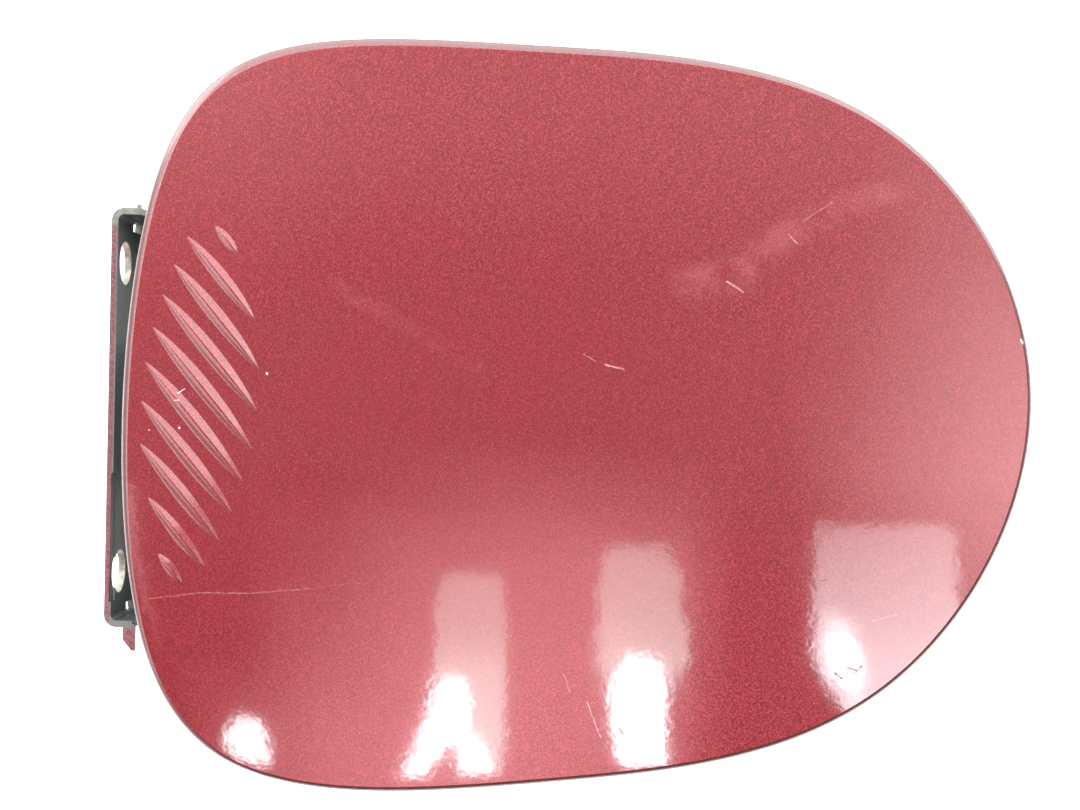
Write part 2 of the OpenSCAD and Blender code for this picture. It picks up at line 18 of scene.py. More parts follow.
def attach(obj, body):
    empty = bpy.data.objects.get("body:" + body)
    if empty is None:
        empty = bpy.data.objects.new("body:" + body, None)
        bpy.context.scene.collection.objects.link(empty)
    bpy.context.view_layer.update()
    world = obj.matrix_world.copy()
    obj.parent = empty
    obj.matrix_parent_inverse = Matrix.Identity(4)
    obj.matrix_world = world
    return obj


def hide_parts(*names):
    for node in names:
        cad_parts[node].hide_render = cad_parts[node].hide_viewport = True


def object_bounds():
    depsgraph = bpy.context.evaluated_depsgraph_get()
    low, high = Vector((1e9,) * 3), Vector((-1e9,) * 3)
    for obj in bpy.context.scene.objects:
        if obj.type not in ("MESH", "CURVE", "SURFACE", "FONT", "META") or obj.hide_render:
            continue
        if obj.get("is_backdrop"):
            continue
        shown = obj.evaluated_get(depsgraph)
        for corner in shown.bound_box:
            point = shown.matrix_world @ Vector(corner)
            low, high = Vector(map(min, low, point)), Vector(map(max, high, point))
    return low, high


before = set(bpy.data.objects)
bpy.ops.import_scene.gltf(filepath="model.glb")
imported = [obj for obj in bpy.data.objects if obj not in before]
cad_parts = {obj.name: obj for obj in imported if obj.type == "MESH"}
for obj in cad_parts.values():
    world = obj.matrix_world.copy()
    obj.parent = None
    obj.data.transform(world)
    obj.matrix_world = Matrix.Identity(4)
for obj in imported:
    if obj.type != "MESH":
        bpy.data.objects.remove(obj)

MM = 0.001
DOOR_BODY = "door"
Socket = bpy.types.NodeSocket
Colour = tuple[float, float, float, float]
# Blender's names of the nodes that the finishes use
MATH, VECTOR = "ShaderNodeMath", "ShaderNodeVectorMath"
MIX, RANGE = "ShaderNodeMix", "ShaderNodeMapRange"
NOISE, VORONOI = "ShaderNodeTexNoise", "ShaderNodeTexVoronoi"
BUMP, SPLIT = "ShaderNodeBump", "ShaderNodeSeparateXYZ"
SMOOTH = "SMOOTHSTEP"
# Inputs of a mix of two colours, and its output
SHARE, UNDER, OVER, MIXED = 0, 6, 7, 2
# Middle of a random colour, taken off so that it strays to both sides
MID_GREY = (0.5, 0.5, 0.5)
# Height of a triangle with three sides of 1
ROW_SHARE = 0.866
# Points of a mesh that lie closer than this, in millimetres, are one
SAME_MM = 1e-5
log = logging.getLogger("fuel_door")


class Slot(Enum):
    """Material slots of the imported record."""

    RED_PAINT = "red_paint"
    COATED_STEEL = "coated_steel"
    ZINC_STEEL = "zinc_steel"
    SPRING_STEEL = "spring_steel"
    NYLON = "nylon"
    RUBBER = "rubber"


class MarkKind(Enum):
    """What a mark on the paint shows, with its colour."""

    SCRATCH = "#e7c3c3"
    HAZE = "#c58d90"
    DARK_CHIP = "#3d2a28"
    PALE_CHIP = "#fff4f0"


def linear(hex_value: str) -> Colour:
    """Turns an sRGB hex colour into a linear one.

    Args:
        hex_value: Six hex digits, with or without a leading #.

    Returns:
        Linear red, green, blue and alpha 1.
    """
    digits = hex_value.lstrip("#")
    shares = [int(digits[i : i + 2], 16) / 255 for i in (0, 2, 4)]
    made = [s / 12.92 if s <= 0.04045 else ((s + 0.055) / 1.055) ** 2.4 for s in shares]
    return (made[0], made[1], made[2], 1.0)


def per_mm(size: float) -> float:
    """Texture scale that gives cells of a size in millimetres on coordinates in metres."""
    return 1 / (size * MM)


def add_node(tree: bpy.types.NodeTree, kind: str, inputs: dict | tuple = (), out: int | str = 0,
             **settings: object) -> Socket | None:
    """Adds a node with its settings, input values and links.

    Args:
        tree: Node tree that takes the node.
        kind: Blender's type name of the node.
        inputs: The value or the output socket that feeds each input, in order or by name or index.
        out: Name or index of the output that is wanted.
        **settings: Properties of the node itself.

    Returns:
        The wanted output socket, or None for a node without outputs.
    """
    made = tree.nodes.new(kind)
    for name, value in settings.items():
        setattr(made, name, value)
    for key, value in inputs.items() if isinstance(inputs, dict) else enumerate(inputs):
        if isinstance(value, Socket):
            tree.links.new(value, made.inputs[key])
        else:
            made.inputs[key].default_value = value
    return made.outputs[out] if len(made.outputs) else None


@dataclass(frozen=True)
class Outline:
    """Closed B-spline round the door, seen from outside the car, in millimetres."""

    length: float = 175.0
    width: float = 145.0
    left: float = 5.0
    middle_y: float = 1.65
    controls: tuple[tuple[float, float], ...] = (
        (1.14, 0.09), (0.70, 0.96), (-0.14, 0.985), (-0.74, 1.03), (-1.00, 0.67),
        (-1.02, -0.765), (-0.645, -1.035), (-0.055, -0.96), (0.73, -0.855),
    )
    # Points on the curve before it is cut into even lengths
    fine: int = 5400

    def ring(self, count: int) -> np.ndarray:
        """Evenly spaced points along the outline.

        Args:
            count: Number of points.

        Returns:
            Points as rows of x and y, counter-clockwise.
        """
        c = np.array(self.controls)
        n = len(c)
        t = np.linspace(0, n, self.fine, endpoint=False)
        i = t.astype(int)
        f = (t - i)[:, None]
        a, b, d, e = (c[(i + k) % n] for k in range(4))
        raw = ((1 - f) ** 3 * a + (3 * f**3 - 6 * f**2 + 4) * b
               + (-3 * f**3 + 3 * f**2 + 3 * f + 1) * d + f**3 * e) / 6
        lo, hi = raw.min(0), raw.max(0)
        low_corner = np.array([self.left, self.middle_y - self.width / 2])
        points = low_corner + np.array([self.length, self.width]) * (raw - lo) / (hi - lo)
        closed = np.vstack([points, points[:1]])
        along = np.r_[0, np.cumsum(np.linalg.norm(np.diff(closed, axis=0), axis=1))]
        even = np.linspace(0, along[-1], count, endpoint=False)
        return np.c_[np.interp(even, along, closed[:, 0]), np.interp(even, along, closed[:, 1])]

    @staticmethod
    def inward(ring: np.ndarray) -> np.ndarray:
        """Directions into a ring.

        Args:
            ring: Counter-clockwise points as rows of x and y.

        Returns:
            Unit normals of the ring at its points, towards its inside.
        """
        t = np.roll(ring, -1, 0) - np.roll(ring, 1, 0)
        t = t / np.linalg.norm(t, axis=1, keepdims=True)
        return np.c_[-t[:, 1], t[:, 0]]


@dataclass(frozen=True)
class Crown:
    """Doubly curved surface of the door, in millimetres."""

    top: float = 18.5
    middle_x: float = 92.5
    middle_y: float = 1.65
    half_x: float = 87.5
    half_y: float = 72.5
    fall_x: float = 3.0
    fall_y: float = 2.5

    def height(self, p: np.ndarray) -> np.ndarray:
        """Height of the surface.

        Args:
            p: Points as rows of x and y.

        Returns:
            Height of each point.
        """
        u = (p[:, 0] - self.middle_x) / self.half_x
        v = (p[:, 1] - self.middle_y) / self.half_y
        return self.top - self.fall_x * u * u - self.fall_y * v * v


def smooth_min(a: np.ndarray, b: np.ndarray, k: float | np.ndarray) -> np.ndarray:
    """Smaller of two arrays, blended over a band of width k where they meet."""
    return np.minimum(a, b) - np.maximum(k - np.abs(a - b), 0) ** 2 / (4 * k)


@dataclass(frozen=True)
class RibPatch:
    """Pressed finger ribs between two leaning arcs beside the hinge edge, in millimetres."""

    count: int = 10
    pitch: float = 5.36
    angle: float = 49.5
    width: float = 3.25
    rise: float = 0.86
    middle: tuple[float, float] = (19.95, 2.9)
    # A rib as long as this would have the full width and rise
    full_length: float = 34.2
    # The two arcs on which the ribs end
    hinge_arc: tuple[float, float] = (90.4, -0.8)
    hinge_r: float = 81.6
    free_arc: tuple[float, float] = (-35.6, 7.0)
    free_r: float = 67.4
    # Below 1 a rib keeps its width further towards its ends
    taper: float = 0.8
    # Ribs that stop short of the arcs: rib, millimetres at its hinge end and at its free end
    short: tuple[tuple[int, float, float], ...] = ((0, 0.0, 2.0), (1, 1.0, 0.0), (9, 4.0, 0.0))
    # Share of a rib's width on its side towards the free edge, where the flank is broader
    upper_share: float = 0.60
    # The flat of the crest takes this share off the top of the rise
    crest_flat: float = 0.19
    # Blends at the crest's two sides and at the upper and lower foot, as shares of the rise
    crest_blend: float = 0.035
    crest_lower_blend: float = 0.40
    upper_blend: float = 0.05
    lower_blend: float = 0.22
    # Shares of the width and the rise that even the shortest rib keeps
    least_width: float = 0.45
    least_rise: float = 0.35
    # The lowest ribs run out softly towards the free edge: how many, by how much, and from where along them
    soft_ribs: int = 5
    soft_blend: float = 0.7
    soft_from: float = -0.4
    # Least share of a rib's width and of its lines of points that is kept at its pointed ends
    end_width: float = 0.001
    end_line: float = 0.02
    # Lines of points across a rib for each millimetre of its half length
    lines_per_mm: float = 4.4
    # Points of such a line on the lower and the upper flank, as shares of the flank's width
    lower_points: tuple[float, ...] = (
        1.8, 1.5, 1.34, 1.24, 1.14, 1.07, 1.0, 0.93, 0.86, 0.78, 0.7, 0.5, 0.42, 0.34, 0.28, 0.22, 0.17,
        0.13, 0.09, 0.045,
    )
    upper_points: tuple[float, ...] = (
        0.0, 0.05, 0.1, 0.14, 0.17, 0.19, 0.22, 0.26, 0.36, 0.5, 0.7, 0.88, 0.95, 0.98, 1.01, 1.05, 1.12, 1.3,
    )

    @property
    def along(self) -> np.ndarray:
        """Unit direction of the ribs, down and away from the hinge."""
        a = math.radians(self.angle)
        return np.array([math.cos(a), -math.sin(a)])

    @property
    def across(self) -> np.ndarray:
        """Unit direction across the ribs, up and away from the hinge."""
        a = math.radians(self.angle)
        return np.array([math.sin(a), math.cos(a)])

    def ribs(self) -> list[tuple[np.ndarray, float, float]]:
        """Places the ribs between the two arcs, from the lowest to the highest.

        Returns:
            Middle, half length and share of the full length of each rib.
        """
        made = []
        for order in range(self.count):
            start = np.array(self.middle) + (order - (self.count - 1) / 2) * self.pitch * self.across
            # Where the rib's line through its start crosses each arc
            ends = []
            for centre, r, sign in ((self.hinge_arc, self.hinge_r, -1), (self.free_arc, self.free_r, 1)):
                off = start - centre
                b = off @ self.along
                ends.append(-b + sign * math.sqrt(max(0.0, b * b - off @ off + r * r)))
            for rib, hinge_end, free_end in self.short:
                if rib == order:
                    ends = [ends[0] + hinge_end, ends[1] - free_end]
            half = (ends[1] - ends[0]) / 2
            middle = start + (ends[0] + ends[1]) / 2 * self.along
            made.append((middle, half, min(1.0, 2 * half / self.full_length)))
        return made

    def full_width(self, share: float) -> float:
        """Width at the middle of a rib with that share of the full length."""
        return self.width * (self.least_width + (1 - self.least_width) * share)

    def height(self, p: np.ndarray) -> np.ndarray:
        """Rise of the ribs over the crowned surface.

        Args:
            p: Points as rows of x and y.

        Returns:
            Height of each point above the crown.
        """
        made = np.zeros(len(p))
        for order, (middle, half, share) in enumerate(self.ribs()):
            local = p - middle
            t = local @ self.along / half
            w = local @ self.across
            lens = np.maximum(1 - t * t, 0.0) ** self.taper
            full = self.full_width(share) * np.maximum(lens, self.end_width)
            upper, lower = self.upper_share * full, (1 - self.upper_share) * full
            flat = np.full(len(p), 1 - self.crest_flat)
            roof = np.minimum(smooth_min(1 - w / upper, flat, self.crest_blend),
                              smooth_min(1 + w / lower, flat, self.crest_lower_blend))
            soft = max(0.0, 1 - order / self.soft_ribs) * np.clip(t - self.soft_from, 0, 1)
            blend = np.where(w < 0, self.lower_blend + self.soft_blend * soft, self.upper_blend)
            rise = self.rise * (self.least_rise + (1 - self.least_rise) * share) * lens
            made = np.maximum(made, -rise * smooth_min(-roof, np.zeros(len(p)), blend))
        return made

    def points(self) -> np.ndarray:
        """Points that follow the crests, flanks and feet of the ribs.

        Returns:
            Points as rows of x and y.
        """
        lower, upper = -np.array(self.lower_points), np.array(self.upper_points)
        flanks = np.r_[lower * (1 - self.upper_share), upper * self.upper_share]
        made = []
        for middle, half, share in self.ribs():
            for t in np.linspace(-1.0, 1.0, int(self.lines_per_mm * half)):
                reach = self.full_width(share) * max(1 - t * t, self.end_line) ** self.taper
                made.append(middle + t * half * self.along + (flanks * reach)[:, None] * self.across)
        return np.vstack(made)


def inside_loop(points: np.ndarray, loop: np.ndarray) -> np.ndarray:
    """Tells which points lie inside a closed loop.

    Args:
        points: Points as rows of x and y.
        loop: Corners of the loop as rows of x and y.

    Returns:
        One truth value for each point.
    """
    x, y = points.T
    found = np.zeros(len(points), bool)
    for (ax, ay), (bx, by) in zip(loop, np.roll(loop, -1, 0)):
        if ay != by:
            found ^= ((ay > y) != (by > y)) & (x < (bx - ax) * (y - ay) / (by - ay) + ax)
    return found


def distance_inside(points: np.ndarray, loop: np.ndarray) -> np.ndarray:
    """Distance of points from a closed loop.

    Args:
        points: Points as rows of x and y.
        loop: Corners of the loop as rows of x and y.

    Returns:
        Distance of each point from the nearest side, in the loop's units.
    """
    batch = 2000  # points at a time, so that the table of points and sides stays small
    side = np.roll(loop, -1, 0) - loop
    nearest = np.full(len(points), np.inf)
    for part in range(0, len(points), batch):
        p = points[part : part + batch, None, :] - loop[None]
        h = np.clip((p * side).sum(2) / (side * side).sum(1), 0, 1)
        nearest[part : part + batch] = np.linalg.norm(p - h[..., None] * side, axis=2).min(1)
    return nearest


def circle(x: float, y: float, r: float, count: int) -> np.ndarray:
    """Counter-clockwise points on a circle, as rows of x and y."""
    a = np.linspace(0, 2 * math.pi, count, endpoint=False)
    return np.c_[x + r * np.cos(a), y + r * np.sin(a)]


def hex_grid(low: np.ndarray, high: np.ndarray, step: float) -> np.ndarray:
    """Makes a triangular grid over a rectangle.

    Args:
        low: Lower left corner of the rectangle.
        high: Its upper right corner.
        step: Distance between neighbours.

    Returns:
        Points as rows of x and y.
    """
    made = []
    for k, y in enumerate(np.arange(low[1], high[1], step * ROW_SHARE)):
        x = np.arange(low[0] + (k % 2) * step / 2, high[0], step)
        made.append(np.c_[x, np.full(len(x), y)])
    return np.vstack(made)


def triangulate(loops: list[np.ndarray], inside: np.ndarray) -> tuple[np.ndarray, np.ndarray]:
    """Triangles between a border, its holes and points of detail.

    Args:
        loops: The border first, then each hole, as rows of x and y.
        inside: Further points, as rows of x and y.

    Returns:
        All points, the loops' first, and the triangles as rows of three indices.
    """
    points = np.vstack([*loops, inside])
    edges, start = [], 0
    for loop in loops:
        n = len(loop)
        edges += [(start + i, start + (i + 1) % n) for i in range(n)]
        start += n
    made = delaunay_2d_cdt([Vector(p) for p in points.tolist()], edges, [], 0, SAME_MM)
    source = [ids[0] for ids in made[3]]
    triangles = np.array([[source[v] for v in f] for f in made[2]])
    centres = points[triangles].mean(1)
    keep = inside_loop(centres, loops[0])
    for hole in loops[1:]:
        keep &= ~inside_loop(centres, hole)
    return points, triangles[keep]


def slope_normals(height: Callable[[np.ndarray], np.ndarray], p: np.ndarray) -> np.ndarray:
    """Normals of a height field.

    Args:
        height: Gives the height of points given as rows of x and y.
        p: Points as rows of x and y.

    Returns:
        Unit normal of each point.
    """
    aside = 0.01  # millimetres to each side, between which the slope is taken
    dx = (height(p + [aside, 0]) - height(p - [aside, 0])) / (2 * aside)
    dy = (height(p + [0, aside]) - height(p - [0, aside])) / (2 * aside)
    n = np.c_[-dx, -dy, np.ones(len(p))]
    return n / np.linalg.norm(n, axis=1, keepdims=True)


def band(a: np.ndarray, b: np.ndarray) -> np.ndarray:
    """Quads between two counter-clockwise rings of vertex indices, facing out where b is above a."""
    return np.c_[a, np.roll(a, -1), np.roll(b, -1), b]


@dataclass
class Shell:
    """Vertices, faces and shading normals of one sheet-metal piece, gathered in millimetres."""

    points: list[np.ndarray] = field(default_factory=list)
    normals: list[np.ndarray] = field(default_factory=list)
    faces: list[tuple[np.ndarray, bool]] = field(default_factory=list)
    count: int = 0

    def add(self, points: np.ndarray, normals: np.ndarray) -> np.ndarray:
        """Adds vertices.

        Args:
            points: Their places as rows of x, y and z.
            normals: Their shading normals.

        Returns:
            Their indices.
        """
        self.points.append(points)
        self.normals.append(normals)
        self.count += len(points)
        return np.arange(self.count - len(points), self.count)

    def cover(self, faces: np.ndarray, flat: bool = False) -> None:
        """Adds faces, which take their own flat normals where flat is true."""
        self.faces.append((faces, flat))

    def mesh(self, name: str) -> bpy.types.Object:
        """Makes the piece's object.

        Args:
            name: Name of the object.

        Returns:
            The object, linked to the scene, in metres.
        """
        points, normals = np.vstack(self.points), np.vstack(self.normals)
        used = np.unique(np.concatenate([f.ravel() for f, _ in self.faces]))
        place = np.full(len(points), -1)
        place[used] = np.arange(len(used))
        rows = [tuple(r) for f, _ in self.faces for r in place[f].tolist()]
        flat = np.concatenate([np.full(len(f), is_flat) for f, is_flat in self.faces])
        data = bpy.data.meshes.new(name)
        data.from_pydata((points[used] * MM).tolist(), [], rows)
        data.polygons.foreach_set("use_smooth", np.ones(len(rows), bool))
        corner = np.zeros(len(data.loops), np.int32)
        data.loops.foreach_get("vertex_index", corner)
        shade = normals[used][corner]
        own = np.zeros(len(rows) * 3, np.float32)
        data.polygons.foreach_get("normal", own)
        sizes = np.zeros(len(rows), np.int32)
        data.polygons.foreach_get("loop_total", sizes)
        face_of = np.repeat(np.arange(len(rows)), sizes)
        is_flat = flat[face_of]
        shade[is_flat] = own.reshape(-1, 3)[face_of][is_flat]
        data.normals_split_custom_set(shade.tolist())
        made = bpy.data.objects.new(name, data)
        bpy.context.scene.collection.objects.link(made)
        return made


@dataclass(frozen=True)
class Mark:
    """One scratch, chip or hazy patch on the skin, as a line between two places in millimetres."""

    start: tuple[float, float]
    end: tuple[float, float]
    half_width: float
    strength: float


Marks = dict[MarkKind, tuple[Mark, ...]]


def mark_group() -> bpy.types.NodeTree:
    """Node group that gives a mask round a line, from a position in millimetres.

    Returns:
        The group, with inputs Place, Start, End, Half width and Soft, and one output Mask.
    """
    tree = bpy.data.node_groups.new("mark_mask", "ShaderNodeTree")
    sockets = {"Place": "Vector", "Start": "Vector", "End": "Vector", "Half width": "Float", "Soft": "Float"}
    for name, kind in sockets.items():
        tree.interface.new_socket(name, in_out="INPUT", socket_type=f"NodeSocket{kind}")
    tree.interface.new_socket("Mask", in_out="OUTPUT", socket_type="NodeSocketFloat")
    given = add_node(tree, "NodeGroupInput").node.outputs
    to_place = add_node(tree, VECTOR, (given["Place"], given["Start"]), operation="SUBTRACT")
    line = add_node(tree, VECTOR, (given["End"], given["Start"]), operation="SUBTRACT")
    dot = add_node(tree, VECTOR, (to_place, line), "Value", operation="DOT_PRODUCT")
    size = add_node(tree, VECTOR, (line, line), "Value", operation="DOT_PRODUCT")
    share = add_node(tree, MATH, (dot, size), operation="DIVIDE", use_clamp=True)
    foot = add_node(tree, VECTOR, {0: line, "Scale": share}, operation="SCALE")
    gap = add_node(tree, VECTOR, (to_place, foot), "Value", operation="DISTANCE")
    outer = add_node(tree, MATH, (given["Half width"], given["Soft"]), operation="ADD")
    mask = add_node(tree, RANGE, (gap, outer, given["Half width"]), interpolation_type=SMOOTH)
    add_node(tree, "NodeGroupOutput", {"Mask": mask})
    return tree


class Material:
    """A new node material, with its shader and the places and normals that its patterns use."""

    def __init__(self, name: str) -> None:
        """Makes an empty material with a Principled shader.

        Args:
            name: Name of the material.
        """
        self.made = bpy.data.materials.new(name)
        self.made.use_nodes = True
        self.tree = self.made.node_tree
        self.shader = next(n for n in self.tree.nodes if n.type == "BSDF_PRINCIPLED")
        self.place = add_node(self.tree, "ShaderNodeTexCoord", out="Object")
        in_mm = add_node(self.tree, VECTOR, {0: self.place, "Scale": 1 / MM}, operation="SCALE")
        self.x, self.y, self.z = add_node(self.tree, SPLIT, (in_mm,)).node.outputs
        facing = add_node(self.tree, SPLIT, (self.place.node.outputs["Normal"],))
        self.facing_x, self.facing_y, self.facing_z = facing.node.outputs

    def set(self, **values: Socket | float | Colour) -> bpy.types.Material:
        """Sets or links inputs of the shader.

        Args:
            **values: Input names, with _ for each space, and a value or the output socket that feeds each.

        Returns:
            The material.
        """
        for key, value in values.items():
            socket = self.shader.inputs[key.replace("_", " ")]
            if isinstance(value, Socket):
                self.tree.links.new(value, socket)
            else:
                socket.default_value = value
        return self.made


@dataclass(frozen=True)
class Patches:
    """Soft patches on a surface: their size, and the noise levels between which they grow.

    Noise lies mostly between 0.3 and 0.7, so a higher low level leaves fewer patches.
    """

    size_mm: float
    detail: float
    low: float
    high: float
    least: float = 0.0
    most: float = 1.0
    roughness: float = 0.5

    def mask(self, m: Material) -> Socket:
        """Adds the patches to a material.

        Args:
            m: Material that takes them.

        Returns:
            A mask that runs from least to most.
        """
        noise = add_node(m.tree, NOISE, {"Vector": m.place, "Scale": per_mm(self.size_mm),
                                         "Detail": self.detail, "Roughness": self.roughness})
        return add_node(m.tree, RANGE, (noise, self.low, self.high, self.least, self.most))


@dataclass(frozen=True)
class Relief:
    """Fine unevenness of a surface: the size, height, detail and strength of its waves."""

    size_mm: float
    height_mm: float
    detail: float
    strength: float = 1.0

    def normal(self, m: Material, under: Socket | None = None) -> Socket:
        """Adds the relief to a material.

        Args:
            m: Material that takes it.
            under: Normal of a coarser relief that this one lies on.

        Returns:
            The normal that the relief gives.
        """
        waves = add_node(m.tree, NOISE, {"Vector": m.place, "Scale": per_mm(self.size_mm),
                                         "Detail": self.detail})
        inputs = {"Height": waves, "Distance": self.height_mm * MM, "Strength": self.strength}
        if under is not None:
            inputs["Normal"] = under
        return add_node(m.tree, BUMP, inputs)


@dataclass(frozen=True)
class MetallicPaint:
    """Red metallic basecoat, sprayed, under a polished clear coat.

    To the eye it is a wine red whose fine aluminium flakes make a salt-and-pepper grain, under a
    sharp colourless gloss that wavers slightly with orange peel.
    """

    dark: str = "#44080e"
    light: str = "#611018"
    spark: str = "#85353c"
    # Painted shade: the first colour darkens the faces that turn under, the second the rolled edge
    grime_and_shade: str = "#4e2b29"
    rolled_edge_shade: str = "#2c2526"
    metallic: float = 0.3
    roughness: float = 0.5
    specular_level: float = 0.12
    coat: float = 1.0
    coat_roughness: float = 0.05
    # Flakes are about 0.02 mm; they are drawn at 0.15 mm so that they still show in the picture
    flake_mm: float = 0.15
    flake_tilt: float = 0.16
    # A flake's random red plus fine noise turns the paint from dark to light between these levels
    grain_levels: tuple[float, float] = (0.4, 1.6)
    # Between these levels of its random green, one flake in four opens to the light and glints
    glint_levels: tuple[float, float] = (0.72, 0.8)
    glint: float = 0.5
    glint_roughness: float = 0.24
    clouds: Patches = Patches(26.0, 3.0, 0.35, 0.65, most=0.16)
    # The pressed sheet waves over about 8 mm, and noise of 1.3 mm gives orange peel of about 2 mm
    sheet_wave: Relief = Relief(8.0, 0.016, 1.0)
    orange_peel: Relief = Relief(1.3, 0.0035, 1.0)
    # How strongly painted shade darkens the rolled edge, and how strongly it darkens the side that turns
    # under
    rolled_shade_share: float = 0.62
    underside_shade_share: float = 0.3
    # Middle of the ribbed patch and half its size along x and y, in millimetres
    ribs_at: tuple[float, float, float] = (21.0, 3.0, 0.0)
    ribs_reach: tuple[float, float] = (12.8, 39.0)
    # Marks waver by about half a millimetre; scratches are broken, hazy patches smeared
    waver_mm: float = 1.6
    waver_by: tuple[float, float, float] = (0.5, 0.5, 0.0)
    # Soft border of a scratch in millimetres, and of a hazy patch in its own half widths
    scratch_soft: float = 0.12
    haze_soft: float = 3.0
    broken: Patches = Patches(0.9, 4.0, 0.36, 0.6, least=0.25, roughness=0.7)
    smeared: Patches = Patches(9.0, 5.0, 0.4, 0.62, roughness=0.6)

    def material(self, name: str, marks: Marks | None = None) -> bpy.types.Material:
        """Makes the paint.

        Args:
            name: Name of the material.
            marks: Scratches, chips and hazy patches on this piece.

        Returns:
            The material.
        """
        m = Material(name)
        t = m.tree
        flake = add_node(t, VORONOI, {"Vector": m.place, "Scale": per_mm(self.flake_mm)}, "Color")
        tone, lot, _ = add_node(t, "ShaderNodeSeparateColor", (flake,)).node.outputs
        fine = add_node(t, NOISE, {"Vector": m.place, "Scale": per_mm(2 * self.flake_mm), "Detail": 2.0})
        grain = add_node(t, MATH, (tone, fine), operation="ADD")
        grain = add_node(t, RANGE, (grain, *self.grain_levels))
        glint = add_node(t, RANGE, (lot, *self.glint_levels, 0.0, self.glint))
        # After the grain, glints and clouds, painted shade darkens the rolled edge and the side that turns
        # under
        layers = ((grain, self.light), (glint, self.spark), (self.clouds.mask(m), self.light),
                  (self._rolled_edge_shade(m), self.rolled_edge_shade), (self._turned_under_shade(m), self.grime_and_shade))
        colour: Socket | Colour = linear(self.dark)
        for share, over in layers:
            colour = add_node(t, MIX, {SHARE: share, UNDER: colour, OVER: linear(over)}, MIXED,
                              data_type="RGBA")
        metal = add_node(t, RANGE, (glint, 0.0, 1.0, self.metallic, 1.0))
        rough = add_node(t, RANGE, (glint, 0.0, 1.0, self.roughness, self.glint_roughness))
        coat: Socket | float = self.coat
        if marks:
            colour, metal, coat = self._marked(m, colour, metal, marks)
        m.set(Base_Color=colour, Metallic=metal, Roughness=rough, Specular_IOR_Level=self.specular_level,
              Normal=self._flake_normal(m, flake))
        return m.set(Coat_Weight=coat, Coat_Roughness=self.coat_roughness,
                     Coat_Normal=self.orange_peel.normal(m, self.sheet_wave.normal(m)))

    def _rolled_edge_shade(self, m: Material) -> Socket:
        """Masks the painted shade on the rolled edge, but not on the ribs, whose flanks lean as much as the
        edge does.

        Args:
            m: Material being made.

        Returns:
            The mask.
        """
        t = m.tree
        middle = tuple(MM * v for v in self.ribs_at)
        scale = tuple(1 / (MM * reach) for reach in self.ribs_reach)
        # The crown alone leans by less than 10 degrees, a facing of 0.985, and the rolled edge by more
        leaning = add_node(t, RANGE, (m.facing_z, 0.985, 0.93, 0.0, self.rolled_shade_share))
        # Distance from the middle of the ribbed patch, as a share of its reach each way
        off = add_node(t, VECTOR, (m.place, middle), operation="SUBTRACT")
        off = add_node(t, VECTOR, (off, (*scale, 0.0)), operation="MULTIPLY")
        off = add_node(t, VECTOR, (off,), "Value", operation="LENGTH")
        beyond = add_node(t, RANGE, (off, 1.0, 1.05))
        upper = add_node(t, RANGE, (m.facing_z, -0.15, 0.15))
        mask = add_node(t, MATH, (leaning, beyond), operation="MULTIPLY")
        return add_node(t, MATH, (mask, upper), operation="MULTIPLY")

    def _turned_under_shade(self, m: Material) -> Socket:
        """Mask of the painted shade on the faces where the sheet turns under."""
        return add_node(m.tree, RANGE, (m.facing_z, 0.12, -0.25, 0.0, self.underside_shade_share),
                        interpolation_type=SMOOTH)

    def _flake_normal(self, m: Material, flake: Socket) -> Socket:
        """Tilts each flake its own way.

        Args:
            m: Material being made.
            flake: Random colour of each flake.

        Returns:
            The normal of the basecoat.
        """
        t = m.tree
        tilt = add_node(t, VECTOR, (flake, MID_GREY), operation="SUBTRACT")
        tilt = add_node(t, VECTOR, {0: tilt, "Scale": self.flake_tilt}, operation="SCALE")
        plain = add_node(t, "ShaderNodeNewGeometry", out="Normal")
        tilted = add_node(t, VECTOR, (plain, tilt), operation="ADD")
        return add_node(t, VECTOR, (tilted,), operation="NORMALIZE")

    def _marked(self, m: Material, colour: Socket, metal: Socket,
                marks: Marks) -> tuple[Socket, Socket, Socket]:
        """Lays marks over the paint.

        Args:
            m: Material being made.
            colour: Colour of the sound paint.
            metal: Metallic share of the sound paint.
            marks: The marks of each kind.

        Returns:
            Colour, metallic share and clear coat with the marks in them.
        """
        t = m.tree
        group = mark_group()
        flat = add_node(t, VECTOR, (m.place, (1 / MM, 1 / MM, 0.0)), operation="MULTIPLY")
        waver = add_node(t, NOISE, {"Vector": m.place, "Scale": per_mm(self.waver_mm), "Detail": 3.0},
                         "Color")
        waver = add_node(t, VECTOR, (waver, MID_GREY), operation="SUBTRACT")
        waver = add_node(t, VECTOR, (waver, self.waver_by), operation="MULTIPLY")
        place = add_node(t, VECTOR, (flat, waver), operation="ADD")
        broken, smeared = self.broken.mask(m), self.smeared.mask(m)
        worn: Socket | float = 0.0
        for kind, lines in marks.items():
            hazy = kind is MarkKind.HAZE
            total: Socket | float = 0.0
            for mark in lines:
                soft = self.haze_soft * mark.half_width if hazy else self.scratch_soft
                given = {"Place": place, "Start": (*mark.start, 0.0), "End": (*mark.end, 0.0),
                         "Half width": mark.half_width, "Soft": soft}
                mask = add_node(t, "ShaderNodeGroup", given, node_tree=group)
                mask = add_node(t, MATH, (mask, mark.strength), operation="MULTIPLY")
                total = add_node(t, MATH, (total, mask), operation="MAXIMUM")
            total = add_node(t, MATH, (total, smeared if hazy else broken), operation="MULTIPLY")
            colour = add_node(t, MIX, {SHARE: total, UNDER: colour, OVER: linear(kind.value)}, MIXED,
                              data_type="RGBA")
            worn = add_node(t, MATH, (worn, total), operation="MAXIMUM")
        sound = add_node(t, MATH, (1.0, worn), operation="SUBTRACT")
        metal = add_node(t, MATH, (metal, sound), operation="MULTIPLY")
        coat = add_node(t, MATH, (sound, self.coat), operation="MULTIPLY")
        return colour, metal, coat


